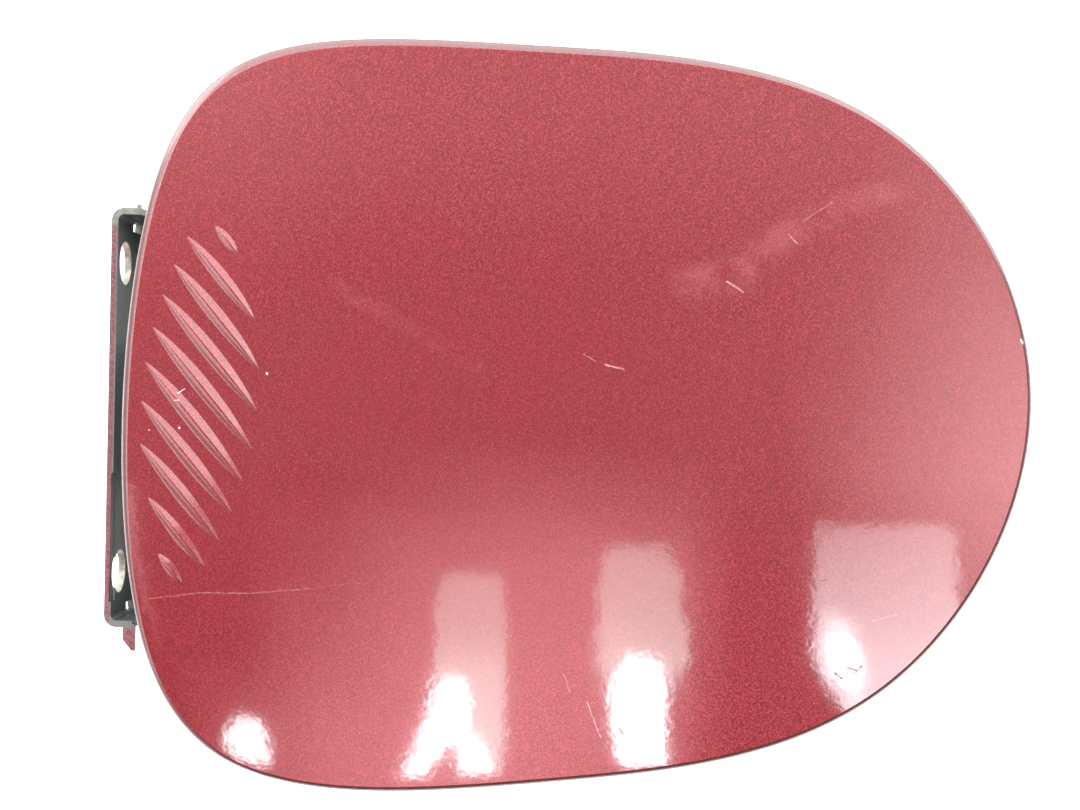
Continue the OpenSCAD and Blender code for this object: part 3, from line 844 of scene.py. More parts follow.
@dataclass(frozen=True)
class DipCoatedSteel:
    """Pressed steel with a grey-green electrophoretic dip coat, oversprayed red where it faced the gun.

    To the eye it is a dull, slightly mottled grey-green with red along the front edges, pale where the
    coat wore through and brown specks of rust.
    """

    coat_dark: str = "#2f3a3a"
    coat_light: str = "#4b5756"
    # Painted light on the tray's inner faces, also lightening the faces that look up
    painted_inner_light: str = "#465251"
    overspray: str = "#431a20"
    overspray_pale: str = "#6b3d44"
    worn: str = "#64665a"
    rust: str = "#6a4330"
    barrel_pale: str = "#a38d84"
    barrel_green: str = "#5c7264"
    metallic: float = 0.1
    roughness: float = 0.4
    rust_roughness: float = 0.35
    mottle: Patches = Patches(9.0, 4.0, 0.35, 0.68)
    # Size of the ragged borders of the overspray, and how far they stray down and across, in millimetres
    ragged_mm: float = 1.1
    ragged_down: float = 1.6
    ragged_across: float = 0.5
    blush: Patches = Patches(0.5, 3.0, 0.38, 0.7)
    stains: Patches = Patches(1.8, 3.0, 0.4, 0.62)
    specks: Patches = Patches(0.8, 5.0, 0.58, 0.66, roughness=0.7)
    rusty_areas: Patches = Patches(11.0, 2.0, 0.42, 0.62, least=0.1)
    skin: Relief = Relief(0.5, 0.012, 3.0, 0.5)

    def material(self, name: str, bracket: "HingeBracket") -> bpy.types.Material:
        """Makes the coat.

        Args:
            name: Name of the material.
            bracket: Bracket whose edges, ears, lug and holes the patterns follow.

        Returns:
            The material.
        """
        m = Material(name)
        t = m.tree
        ragged = add_node(t, NOISE, {"Vector": m.place, "Scale": per_mm(self.ragged_mm), "Detail": 4.0,
                                     "Roughness": 0.65})
        rusty = add_node(t, MATH, (self.specks.mask(m), self.rusty_areas.mask(m)), operation="MULTIPLY")
        sprayed = add_node(t, MIX, {SHARE: self.blush.mask(m), UNDER: linear(self.overspray),
                                    OVER: linear(self.overspray_pale)}, MIXED, data_type="RGBA")
        rubbed = add_node(t, MIX, {SHARE: self.stains.mask(m), UNDER: linear(self.barrel_pale),
                                   OVER: linear(self.barrel_green)}, MIXED, data_type="RGBA")
        layers = (
            (self.mottle.mask(m), linear(self.coat_light)),
            # Painted light that lightens the tray's inner faces and the faces that look up
            (self._inner_light_and_up(m), linear(self.painted_inner_light)),
            (self._oversprayed(m, bracket, ragged), sprayed),
            (self._barrels(m, bracket), rubbed),
            (self._worn_ear(m, bracket, ragged), linear(self.worn)),
            (rusty, linear(self.rust)),
        )
        colour: Socket | Colour = linear(self.coat_dark)
        for share, over in layers:
            colour = add_node(t, MIX, {SHARE: share, UNDER: colour, OVER: over}, MIXED, data_type="RGBA")
        rough = add_node(t, MATH, (rusty, self.rust_roughness, self.roughness), operation="MULTIPLY_ADD")
        return m.set(Base_Color=colour, Roughness=rough, Metallic=self.metallic, Normal=self.skin.normal(m))

    def _inner_light_and_up(self, m: Material) -> Socket:
        """Masks the inner faces of the tray, where a lighter colour is painted light standing in for light
        that bounces in, and the faces that look up, which it lightens too.

        Args:
            m: Material being made.

        Returns:
            The mask.
        """
        inside = add_node(m.tree, RANGE, (m.facing_x, 0.3, 0.8, 0.0, 0.75))
        upward = add_node(m.tree, RANGE, (m.facing_z, 0.5, 0.9, 0.0, 0.5))
        return add_node(m.tree, MATH, (inside, upward), operation="MAXIMUM")

    def _oversprayed(self, m: Material, bracket: "HingeBracket", ragged: Socket) -> Socket:
        """Masks the overspray: the wall's front edge, a little way down its outer side, and the lug.

        Args:
            m: Material being made.
            bracket: Bracket that the mask follows.
            ragged: Noise that frays the borders.

        Returns:
            The mask.
        """
        t = m.tree
        # Millimetres below the front edge and in from the outer face, both strayed by the ragged noise
        depth = add_node(t, MATH, (bracket.front, m.z), operation="SUBTRACT")
        depth = add_node(t, MATH, (ragged, self.ragged_down, depth), operation="MULTIPLY_ADD")
        across = add_node(t, MATH, (ragged, self.ragged_across, m.x), operation="MULTIPLY_ADD")
        edge = add_node(t, RANGE, (depth, 2.0, 1.0), interpolation_type=SMOOTH)
        from_out = add_node(t, RANGE, (across, 0.35, 0.6, 0.35))
        to_in = add_node(t, RANGE, (across, bracket.wall_t + 0.15, bracket.wall_t - 0.1))
        outer = add_node(t, RANGE, (m.facing_x, -0.6, -0.9))
        fade = add_node(t, RANGE, (depth, 8.0, 1.5, 0.0, 0.8), interpolation_type=SMOOTH)
        outer = add_node(t, MATH, (outer, fade), operation="MULTIPLY")
        for limit in (from_out, to_in):
            edge = add_node(t, MATH, (edge, limit), operation="MULTIPLY")
        red = add_node(t, MATH, (edge, outer), operation="MAXIMUM")
        not_ear = add_node(t, RANGE, (m.y, bracket.ear_full, bracket.ear_start))
        red = add_node(t, MATH, (red, not_ear), operation="MULTIPLY")
        lug = add_node(t, RANGE, (m.y, 0.4 - bracket.half_span, -0.6 - bracket.half_span))
        return add_node(t, MATH, (red, lug), operation="MAXIMUM")

    def _barrels(self, m: Material, bracket: "HingeBracket") -> Socket:
        """Masks the barrels of the bolt holes, which are rubbed pale.

        Args:
            m: Material being made.
            bracket: Bracket whose holes they are.

        Returns:
            The mask.
        """
        t = m.tree
        away = add_node(t, MATH, (m.y,), operation="ABSOLUTE")
        away = add_node(t, MATH, (away, bracket.hole_y), operation="SUBTRACT")
        flat = add_node(t, "ShaderNodeCombineXYZ", (away, m.z))
        radius = add_node(t, VECTOR, (flat,), "Value", operation="LENGTH")
        barrel = add_node(t, RANGE, (radius, bracket.hole_r + 0.3, bracket.hole_r + 0.1))
        near_wall = add_node(t, RANGE, (m.x, 4.0, 3.0))
        return add_node(t, MATH, (barrel, near_wall), operation="MULTIPLY")

    def _worn_ear(self, m: Material, bracket: "HingeBracket", ragged: Socket) -> Socket:
        """Masks the cut edge of the upper ear, which is worn to a pale olive.

        Args:
            m: Material being made.
            bracket: Bracket whose ear it is.
            ragged: Noise that breaks the wear up.

        Returns:
            The mask.
        """
        t = m.tree
        ear = add_node(t, RANGE, (m.y, bracket.ear_start, bracket.ear_full))
        for limit in (add_node(t, RANGE, (m.facing_z, 0.1, 0.5)),
                      add_node(t, RANGE, (ragged, 0.42, 0.58, 0.1, 0.9))):
            ear = add_node(t, MATH, (ear, limit), operation="MULTIPLY")
        return ear


@dataclass(frozen=True)
class BareMetal:
    """Plated or blued steel, drawn or rolled.

    To the eye a dull metal with fine lines along the way it was worked and darker grime in patches.
    """

    colour: str
    grime_and_shade: str
    roughness: float
    lines_along: tuple[float, float, float]
    metallic: float = 0.9
    lines_mm: float = 0.35
    lines_high_mm: float = 0.01
    uneven: float = 0.12
    grimy: Patches = Patches(4.0, 4.0, 0.42, 0.66, most=0.7)

    def material(self, name: str) -> bpy.types.Material:
        """Makes the metal.

        Args:
            name: Name of the material.

        Returns:
            The material.
        """
        m = Material(name)
        t = m.tree
        drawn = add_node(t, VECTOR, (m.place, self.lines_along), operation="MULTIPLY")
        lines = add_node(t, NOISE, {"Vector": drawn, "Scale": per_mm(self.lines_mm), "Detail": 3.0})
        patch = self.grimy.mask(m)
        colour = add_node(t, MIX, {SHARE: patch, UNDER: linear(self.colour), OVER: linear(self.grime_and_shade)}, MIXED,
                          data_type="RGBA")
        rough = add_node(t, MATH, (lines, patch), operation="ADD")
        rough = add_node(t, MATH, (rough, self.uneven, self.roughness), operation="MULTIPLY_ADD")
        low = add_node(t, BUMP, {"Height": lines, "Distance": self.lines_high_mm * MM, "Strength": 0.4})
        return m.set(Base_Color=colour, Metallic=self.metallic, Roughness=rough, Normal=low)


@dataclass(frozen=True)
class MouldedPolymer:
    """Injection-moulded plastic or rubber with a fine spark-eroded grain.

    To the eye an even, soft-edged matt surface, with faint clouding.
    """

    colour: str
    shade: str
    roughness: float
    grain_mm: float
    ior: float = 1.53
    uneven: float = 0.12
    clouds: Patches = Patches(3.5, 3.0, 0.35, 0.7)

    def material(self, name: str) -> bpy.types.Material:
        """Makes the polymer.

        Args:
            name: Name of the material.

        Returns:
            The material.
        """
        m = Material(name)
        cloud = self.clouds.mask(m)
        colour = add_node(m.tree, MIX, {SHARE: cloud, UNDER: linear(self.colour), OVER: linear(self.shade)},
                          MIXED, data_type="RGBA")
        rough = add_node(m.tree, MATH, (cloud, self.uneven, self.roughness), operation="MULTIPLY_ADD")
        grain = Relief(self.grain_mm, 0.012, 2.0, 0.5)
        return m.set(Base_Color=colour, Roughness=rough, IOR=self.ior, Normal=grain.normal(m))


@dataclass(frozen=True)
class MattPaper:
    """White paper on a light table.

    To the eye a plain, nearly shadowless pale ground with a faint fibre.
    """

    colour: str = "#f7f7f6"
    shade: str = "#f2f2f1"
    roughness: float = 0.85
    glow: float = 0.28
    cloud_mm: float = 40.0
    fibre: Relief = Relief(0.8, 0.01, 2.0, 0.2)

    def material(self, name: str) -> bpy.types.Material:
        """Makes the paper.

        Args:
            name: Name of the material.

        Returns:
            The material.
        """
        m = Material(name)
        cloud = add_node(m.tree, NOISE, {"Vector": m.place, "Scale": per_mm(self.cloud_mm), "Detail": 3.0})
        tone = add_node(m.tree, MIX, {SHARE: cloud, UNDER: linear(self.colour), OVER: linear(self.shade)},
                        MIXED, data_type="RGBA")
        return m.set(Base_Color=tone, Roughness=self.roughness, Normal=self.fibre.normal(m),
                     Emission_Color=linear("#ffffff"), Emission_Strength=self.glow)


SKIN_MARKS: Marks = {
    MarkKind.SCRATCH: (
        Mark((93.5, 13.9), (95.8, 12.6), 0.05, 0.20), Mark((97.5, 12.1), (101.2, 11.2), 0.09, 0.30),
        Mark((11.2, -34.5), (20.8, -33.2), 0.04, 0.13), Mark((20.8, -33.2), (30.4, -33.0), 0.04, 0.14),
        Mark((30.4, -33.0), (42.0, -31.8), 0.04, 0.10), Mark((42.0, -31.8), (52.0, -30.4), 0.03, 0.04),
        Mark((120.5, 28.3), (123.6, 26.4), 0.12, 0.24), Mark((132.2, 37.6), (133.8, 35.9), 0.10, 0.14),
        Mark((135.1, 40.3), (140.6, 44.1), 0.07, 0.10), Mark((149.7, -35.9), (154.5, -34.5), 0.05, 0.12),
        Mark((95.6, -52.4), (98.2, -59.1), 0.06, 0.22), Mark((91.0, -47.0), (92.2, -50.5), 0.05, 0.12),
    ),
    MarkKind.HAZE: (
        Mark((113.0, 27.5), (123.5, 30.0), 1.3, 0.07), Mark((123.0, 31.5), (141.0, 43.0), 1.2, 0.06),
        Mark((138.0, 42.0), (154.0, 47.5), 1.0, 0.05), Mark((46.0, 26.0), (73.0, 11.5), 0.6, 0.03),
    ),
    MarkKind.DARK_CHIP: (
        Mark((142.9, -46.0), (144.2, -47.0), 0.13, 0.95), Mark((145.2, -44.9), (147.2, -45.6), 0.12, 0.95),
        Mark((146.2, -46.4), (147.9, -44.6), 0.11, 0.95), Mark((139.0, -28.4), (140.7, -28.1), 0.05, 0.70),
        Mark((101.8, -57.3), (102.6, -58.4), 0.16, 0.95),
    ),
    MarkKind.PALE_CHIP: (
        Mark((16.1, 5.0), (17.4, 5.9), 0.03, 0.35), Mark((15.5, 3.5), (16.5, 3.7), 0.04, 0.35),
        Mark((33.2, 9.1), (33.3, 9.0), 0.10, 0.70), Mark((16.4, -1.6), (16.5, -1.7), 0.10, 0.80),
        Mark((10.6, -2.1), (10.7, -2.2), 0.10, 0.40), Mark((177.4, 18.4), (177.7, 17.9), 0.14, 0.80),
    ),
}


@dataclass
class DoorSkin:
    """Crowned outer sheet with pressed ribs, its edge rolled under and folded back as a hem."""

    outline: Outline = Outline()
    crown: Crown = Crown()
    ribs: RibPatch = RibPatch()
    sheet: float = 0.8
    hem_r: float = 1.3
    hem_w: float = 7.0
    roll_w: float = 1.1
    # The roll is broader round the upper hinge corner, which lies this way from the middle
    roll_extra: float = 0.9
    corner_way: tuple[float, float] = (-0.6, 0.8)
    # Above 1 the sheet turns down at once where the roll begins
    roll_power: float = 1.55
    # Degrees from the top to the hem at which the roll has a ring of points
    roll_angles: tuple[int, ...] = (4, 8, 13, 19, 26, 34, 43, 53, 64, 76, 90, 105, 120, 135, 150, 165, 180)
    around: int = 480
    # Rings inside the lip: millimetres from it, and one point in how many
    rings: tuple[tuple[float, int], ...] = ((0.5, 1), (1.2, 1), (2.2, 2), (3.6, 2), (5.6, 4))
    # Step of the plain grid, and how far inside the edge it begins
    grid_step: float = 3.2
    grid_in: float = 8.5
    # Room that other points leave a rib: past its ends, as a share of its half length, and beside it
    rib_end: float = 1.03
    rib_side: float = 0.35

    def height(self, p: np.ndarray) -> np.ndarray:
        """Height of the outer surface at points given as rows of x and y."""
        return self.crown.height(p) + self.ribs.height(p)

    def build(self) -> bpy.types.Object:
        """Builds the skin as one closed sheet.

        Returns:
            Its object.
        """
        shell = Shell()
        edge = self.outline.ring(self.around)
        inward = Outline.inward(edge)
        corner = np.clip(-inward @ np.array(self.corner_way), 0, 1) ** 2
        roll = (self.roll_w + self.roll_extra * corner)[:, None]
        lip = edge + roll * inward
        points, triangles = triangulate([lip], self._detail(edge, inward, roll))
        up = slope_normals(self.height, points)
        z = self.height(points)
        top = shell.add(np.c_[points, z], up)
        under = shell.add(np.c_[points, z - self.sheet], -up)
        shell.cover(top[triangles])
        shell.cover(under[triangles[:, ::-1]])
        lip_z = self.crown.height(lip)
        outer = self._roll(shell, lip, lip_z, inward, roll, self.hem_r, top[: self.around])
        inner = self._roll(shell, lip, lip_z, inward, roll - self.sheet, self.hem_r - self.sheet,
                           under[: self.around], -1)
        fold = edge + self.hem_w * inward
        fold_z = self.crown.height(fold)
        down = np.tile([0.0, 0.0, -1.0], (self.around, 1))
        low = shell.add(np.c_[fold, fold_z - 2 * self.hem_r], down)
        high = shell.add(np.c_[fold, fold_z - 2 * self.hem_r + self.sheet], -down)
        shell.cover(band(low, outer))
        shell.cover(band(high, low), flat=True)
        shell.cover(band(inner, high))
        return shell.mesh("door_skin")

    def _detail(self, edge: np.ndarray, inward: np.ndarray, roll: np.ndarray) -> np.ndarray:
        """Points inside the skin's border: rings along it, a plain grid and the ribs' own lines.

        Args:
            edge: Ring of the door's outline.
            inward: Unit directions towards the door's middle.
            roll: Width of the rolled edge.

        Returns:
            Points as rows of x and y.
        """
        rings = [edge[::k] + (roll[::k] + d) * inward[::k] for d, k in self.rings]
        grid = hex_grid(edge.min(0), edge.max(0), self.grid_step)
        grid = grid[inside_loop(grid, edge)]
        grid = grid[distance_inside(grid, edge) > self.grid_in]
        loose = np.vstack([*rings, grid])
        for middle, half, _ in self.ribs.ribs():
            local = loose - middle
            t, w = local @ self.ribs.along / half, local @ self.ribs.across
            beside = self.rib_side + self.ribs.width * np.maximum(1 - t * t, 0) ** self.ribs.taper
            loose = loose[(np.abs(t) > self.rib_end) | (np.abs(w) > beside)]
        return np.vstack([loose, self.ribs.points()])

    def _roll(self, shell: Shell, lip: np.ndarray, lip_z: np.ndarray, inward: np.ndarray, wide: np.ndarray,
              tall: float, start: np.ndarray, face: int = 1) -> np.ndarray:
        """Rolls the sheet's edge from the outer face under to the hem.

        Args:
            shell: Shell that takes the roll.
            lip: Ring where the crowned surface ends.
            lip_z: Height of that ring.
            inward: Unit directions towards the door's middle.
            wide: Reach of the roll beyond the lip.
            tall: Half the height of the roll.
            start: Vertex indices of the lip.
            face: 1 for the outer face of the sheet, -1 for its inner face.

        Returns:
            Vertex indices of the roll's last ring.
        """
        before = start
        for angle in np.radians(self.roll_angles):
            power = self.roll_power if face > 0 and angle < math.pi / 2 else 1.0
            spot = lip - wide * math.sin(angle) ** power * inward
            z = lip_z - self.hem_r + tall * math.cos(angle)
            rate = power * math.sin(angle) ** (power - 1) * math.cos(angle)
            out = np.c_[-inward * math.sin(angle) * tall, rate * wide[:, 0]]
            out = out / np.linalg.norm(out, axis=1, keepdims=True)
            ring = shell.add(np.c_[spot, z], out * face)
            shell.cover(band(ring, before) if face > 0 else band(before, ring))
            before = ring
        return before

    def dress(self, piece: bpy.types.Object) -> None:
        """Paints the skin and lets it stand for its solid.

        Args:
            piece: The skin.
        """
        piece.data.materials.append(MetallicPaint().material("red_metallic_paint_clear_coated", SKIN_MARKS))
        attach(piece, DOOR_BODY)
        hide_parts("outer_skin")


@dataclass
class InnerPanel:
    """Inner sheet: a border clamped in the hem, a sloping step, a flat field, beads and holes."""

    outline: Outline = Outline()
    crown: Crown = Crown()
    sheet: float = 0.7
    skin: float = 0.8
    clearance: float = 0.15
    border_in: float = 8.0
    step_w: float = 5.0
    rim_in: float = 1.45
    flat_z: float = 12.3
    bead_w: float = 7.0
    bead_h: float = 1.2
    # Above 1 a bead's foot runs out softly
    bead_power: float = 1.5
    beads: tuple[tuple[tuple[float, float], tuple[float, float]], ...] = (
        ((73.0, -24.0), (135.0, -24.0)), ((73.0, 0.0), (135.0, 0.0)), ((73.0, 24.0), (135.0, 24.0)),
        ((55.0, -24.0), (55.0, 24.0)),
    )
    holes: tuple[tuple[float, float, float], ...] = (
        (90.0, -12.0, 6.0), (118.0, -12.0, 6.0), (90.0, 12.0, 6.0), (118.0, 12.0, 6.0),
        (151.0, 26.5, 3.6), (151.0, -17.5, 3.6), (41.5, -4.0, 1.55), (41.5, 4.0, 1.55),
    )
    around: int = 360
    # Points round the outline from which the depth of the step is measured
    fine: int = 960
    # Rings inside the outline, in millimetres, closest together on the step
    rings: tuple[float, ...] = (3.2, 5.2, 7.0, 8.0, 8.5, 9.1, 9.8, 10.5, 11.2, 11.9, 12.5, 13.0, 14.2, 16.0)
    # Step of the plain grid, how far inside the outline it begins, and its room round beads and holes
    grid_step: float = 4.0
    grid_in: float = 18.0
    bead_room: float = 1.2
    hole_room: float = 2.0
    # Lines of points along a bead, as shares of its half width, their step, and degrees round its ends
    bead_lines: tuple[float, ...] = (0.0, 0.25, 0.5, 0.7, 0.85, 0.95, 1.02, 1.15)
    bead_step: float = 1.6
    bead_turns: tuple[int, ...] = tuple(range(-75, 76, 15))
    # Points round a small and a large hole, and rings outside either: millimetres from its edge, and points
    small_hole_r: float = 2.0
    hole_points: tuple[int, int] = (24, 48)
    hole_rings: tuple[tuple[float, int], ...] = ((0.5, 36), (1.3, 24))

    def height(self, p: np.ndarray) -> np.ndarray:
        """Height of the sheet's upper face.

        Args:
            p: Points as rows of x and y.

        Returns:
            Height of each point.
        """
        d = distance_inside(p, self.outline.ring(self.fine))
        u = np.clip((d - self.border_in) / self.step_w, 0, 1)
        u = u * u * (3 - 2 * u)
        border = self.crown.height(p) - self.skin - self.clearance
        z = (1 - u) * border + u * (self.flat_z + self.sheet)
        for start, end in self.beads:
            a, side = np.array(start), np.array(end) - np.array(start)
            h = np.clip((p - a) @ side / (side @ side), 0, 1)
            away = np.linalg.norm(p - a - h[:, None] * side, axis=1) / (self.bead_w / 2)
            z = z + self.bead_h * np.maximum(1 - away**2, 0) ** self.bead_power
        return z

    def build(self) -> bpy.types.Object:
        """Builds the panel as one closed sheet.

        Returns:
            Its object.
        """
        shell = Shell()
        full = self.outline.ring(self.around)
        inward = Outline.inward(full)
        rim = full + self.rim_in * inward
        holes = [circle(x, y, r, self.hole_points[r > self.small_hole_r]) for x, y, r in self.holes]
        points, triangles = triangulate([rim, *holes], self._detail(full, inward))
        up = slope_normals(self.height, points)
        z = self.height(points)
        top = shell.add(np.c_[points, z], up)
        under = shell.add(np.c_[points, z - self.sheet], -up)
        shell.cover(top[triangles])
        shell.cover(under[triangles[:, ::-1]])
        shell.cover(band(under[: self.around], top[: self.around]), flat=True)
        first = self.around
        for hole in holes:
            span = np.arange(first, first + len(hole))
            shell.cover(band(top[span], under[span]), flat=True)
            first += len(hole)
        return shell.mesh("inner_sheet")

    def _detail(self, full: np.ndarray, inward: np.ndarray) -> np.ndarray:
        """Points inside the panel: rings along its step, round beads and round holes, and a plain grid.

        Args:
            full: Ring of the door's outline.
            inward: Unit directions towards the door's middle.

        Returns:
            Points as rows of x and y.
        """
        rings = [full[::2] + d * inward[::2] for d in self.rings]
        grid = hex_grid(full.min(0), full.max(0), self.grid_step)
        grid = grid[inside_loop(grid, full)]
        grid = grid[distance_inside(grid, full) > self.grid_in]
        extra = []
        for start, end in self.beads:
            a, b = np.array(start), np.array(end)
            run = np.linalg.norm(b - a)
            along = (b - a) / run
            across = np.array([-along[1], along[0]])
            near = np.clip((grid - a) @ along, 0, run)[:, None] * along
            grid = grid[np.linalg.norm(grid - a - near, axis=1) > self.bead_w / 2 + self.bead_room]
            for share in self.bead_lines:
                r = share * self.bead_w / 2
                for s in np.linspace(0, run, int(run / self.bead_step) + 1):
                    extra += [a + s * along + r * across, a + s * along - r * across]
                for turn in np.radians(self.bead_turns):
                    out = math.cos(turn) * along + math.sin(turn) * across
                    back = -math.cos(turn) * along + math.sin(turn) * across
                    extra += [b + r * out, a + r * back]
        for x, y, r in self.holes:
            grid = grid[np.linalg.norm(grid - [x, y], axis=1) > r + self.hole_room]
            for wider, count in self.hole_rings:
                extra += list(circle(x, y, r + wider, count))
        return np.vstack([*rings, grid, np.array(extra)])

    def dress(self, piece: bpy.types.Object) -> None:
        """Paints the panel, thinner and duller than the skin, and lets it stand for its solid.

        Args:
            piece: The panel.
        """
        # A little painted shade darkens the panel's faces that turn under
        paint = MetallicPaint(dark="#4e121b", light="#69202b", spark="#924951", rolled_shade_share=0.0,
                              underside_shade_share=0.15, roughness=0.55, coat=0.7, coat_roughness=0.16, metallic=0.5)
        piece.data.materials.append(paint.material("red_metallic_paint_thin_inside"))
        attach(piece, DOOR_BODY)
        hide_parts("inner_panel")


@dataclass
class SolidPiece:
    """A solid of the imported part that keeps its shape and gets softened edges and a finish."""

    node: str
    slot: Slot
    edge_mm: float = 0.12
    edge_segments: int = 2
    # Points closer than weld_mm become one, and so do faces that turn by less than flat_deg
    weld_mm: float = 0.001
    flat_deg: float = 0.6
    # Edges sharper than this are broken
    sharp_deg: float = 38.0

    def dress(self, material: bpy.types.Material) -> bpy.types.Object:
        """Breaks the sharp edges of the solid and gives it its material.

        Args:
            material: Finish of the piece.

        Returns:
            The piece.
        """
        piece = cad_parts[self.node]
        piece.data.materials.clear()
        piece.data.materials.append(material)
        piece.data.polygons.foreach_set("use_smooth", np.ones(len(piece.data.polygons), bool))
        weld = piece.modifiers.new("weld", "WELD")
        weld.merge_threshold = self.weld_mm * MM
        merge = piece.modifiers.new("merge_flats", "DECIMATE")
        merge.decimate_type = "DISSOLVE"
        merge.angle_limit = math.radians(self.flat_deg)
        bevel = piece.modifiers.new("broken_edges", "BEVEL")
        bevel.width = self.edge_mm * MM
        bevel.segments = self.edge_segments
        bevel.limit_method = "ANGLE"
        bevel.angle_limit = math.radians(self.sharp_deg)
        weighted = piece.modifiers.new("even_shading", "WEIGHTED_NORMAL")
        weighted.keep_sharp = False
        return piece


@dataclass
class HingeBracket:
    """Folded tray bracket with ears, posts and a lug, bolted to the car; places in millimetres."""

    front: float = 6.2
    wall_t: float = 1.3
    half_span: float = 41.5
    hole_y: float = 31.0
    hole_r: float = 4.3
    # The upper ear turns away from the wall between these places along the pin
    ear_start: float = 37.5
    ear_full: float = 39.0
    edge_mm: float = 0.14

    def dress(self) -> list[bpy.types.Object]:
        """Gives the bracket its dip coat and overspray, and returns it as a list of one."""
        coat = DipCoatedSteel().material("dip_coated_steel_oversprayed", self)
        return [SolidPiece("hinge_bracket", Slot.COATED_STEEL, self.edge_mm).dress(coat)]


@dataclass
class HingeGear:
    """Arms, bushes, pin, pin clip, cam, leaf spring and rivets, with their broken edges in millimetres."""

    arm_edge: float = 0.12
    bush_edge: float = 0.08
    cam_edge: float = 0.2
    pin_edge: float = 0.3
    rivet_edge: float = 0.05
    spring_edge: float = 0.1

    def dress(self) -> list[bpy.types.Object]:
        """Gives each small part of the hinge its finish.

        Returns:
            The parts.
        """
        # Painted shade darkens the arms' faces that turn under
        arm = MetallicPaint(dark="#4c131b", light="#672029", rolled_shade_share=0.0, underside_shade_share=0.2,
                            roughness=0.5, coat=0.6, coat_roughness=0.2).material("red_paint_thin_on_arms")
        zinc = BareMetal("#a7a9ab", "#6f6c66", 0.34, (1.0, 0.08, 1.0)).material("zinc_plated_steel")
        blue = BareMetal("#55585c", "#3a3532", 0.36, (0.1, 1.0, 1.0)).material("blued_spring_steel")
        nylon = MouldedPolymer("#cfc8b4", "#b9b09a", 0.45, 0.4).material("moulded_nylon")
        parts = (
            ("hinge_arm_upper", Slot.COATED_STEEL, self.arm_edge, arm),
            ("bush_upper", Slot.NYLON, self.bush_edge, nylon),
            ("hinge_arm_lower", Slot.COATED_STEEL, self.arm_edge, arm),
            ("bush_lower", Slot.NYLON, self.bush_edge, nylon),
            ("detent_cam", Slot.NYLON, self.cam_edge, nylon),
            ("hinge_pin", Slot.ZINC_STEEL, self.pin_edge, zinc),
            ("cam_rivets", Slot.ZINC_STEEL, self.rivet_edge, zinc),
            ("spring_rivets", Slot.ZINC_STEEL, self.rivet_edge, zinc),
            ("pin_clip", Slot.SPRING_STEEL, self.spring_edge, blue),
            ("leaf_spring", Slot.SPRING_STEEL, self.spring_edge, blue),
        )
        return [SolidPiece(node, slot, edge).dress(finish) for node, slot, edge, finish in parts]


@dataclass
class Buffers:
    """Two rubber buffers that rest on the filler recess when the door is shut."""

    edge_mm: float = 0.35

    def dress(self) -> list[bpy.types.Object]:
        """Gives both buffers their rubber.

        Returns:
            The buffers.
        """
        rubber = MouldedPolymer("#0c0c0c", "#171615", 0.6, 0.3).material("moulded_rubber")
        return [SolidPiece(f"buffer_{side}", Slot.RUBBER, self.edge_mm).dress(rubber)
                for side in ("upper", "lower")]


# Light through the net curtains, and the walls' own warm light
CURTAIN = "#cff2ec"
ROSY = "#ffe2e4"


@dataclass(frozen=True)
class Window:
    """A lit window above the door, placed by its mirror image on the crown.

    Each row is a line of the image across the door: y, left x and right x in millimetres, and the
    window's brightness along that line. Its sides fade out over a soft margin.
    """

    name: str
    rows: tuple[tuple[float, float, float, float], ...]
    soft: float = 1.0
    tint: str = "#f6fbff"

    def grid(self) -> list[list[tuple[float, float, float]]]:
        """Rows of x, y and brightness across the window's image."""
        return [[(left - self.soft / 2, y, 0.0), (left + self.soft / 2, y, b), (right - self.soft / 2, y, b),
                 (right + self.soft / 2, y, 0.0)] for y, left, right, b in self.rows]


@dataclass(frozen=True)
class Glow:
    """A broad soft light above the door, placed by its mirror image on the crown.

    Columns are places along x in millimetres. Each row is a y in millimetres and the brightness at
    every column.
    """

    name: str
    columns: tuple[float, ...]
    rows: tuple[tuple[float, tuple[float, ...]], ...]
    tint: str = ROSY

    def grid(self) -> list[list[tuple[float, float, float]]]:
        """Rows of x, y and brightness across the glow's image."""
        return [[(x, y, b) for x, b in zip(self.columns, levels)] for y, levels in self.rows]


@dataclass(frozen=True)
class Side:
    """Light that grows towards one side of the room.

    Along the axis, from where it starts to where it is full, brightness changes by the given amount.
    """

    axis: str
    start: float
    full: float
    change: float


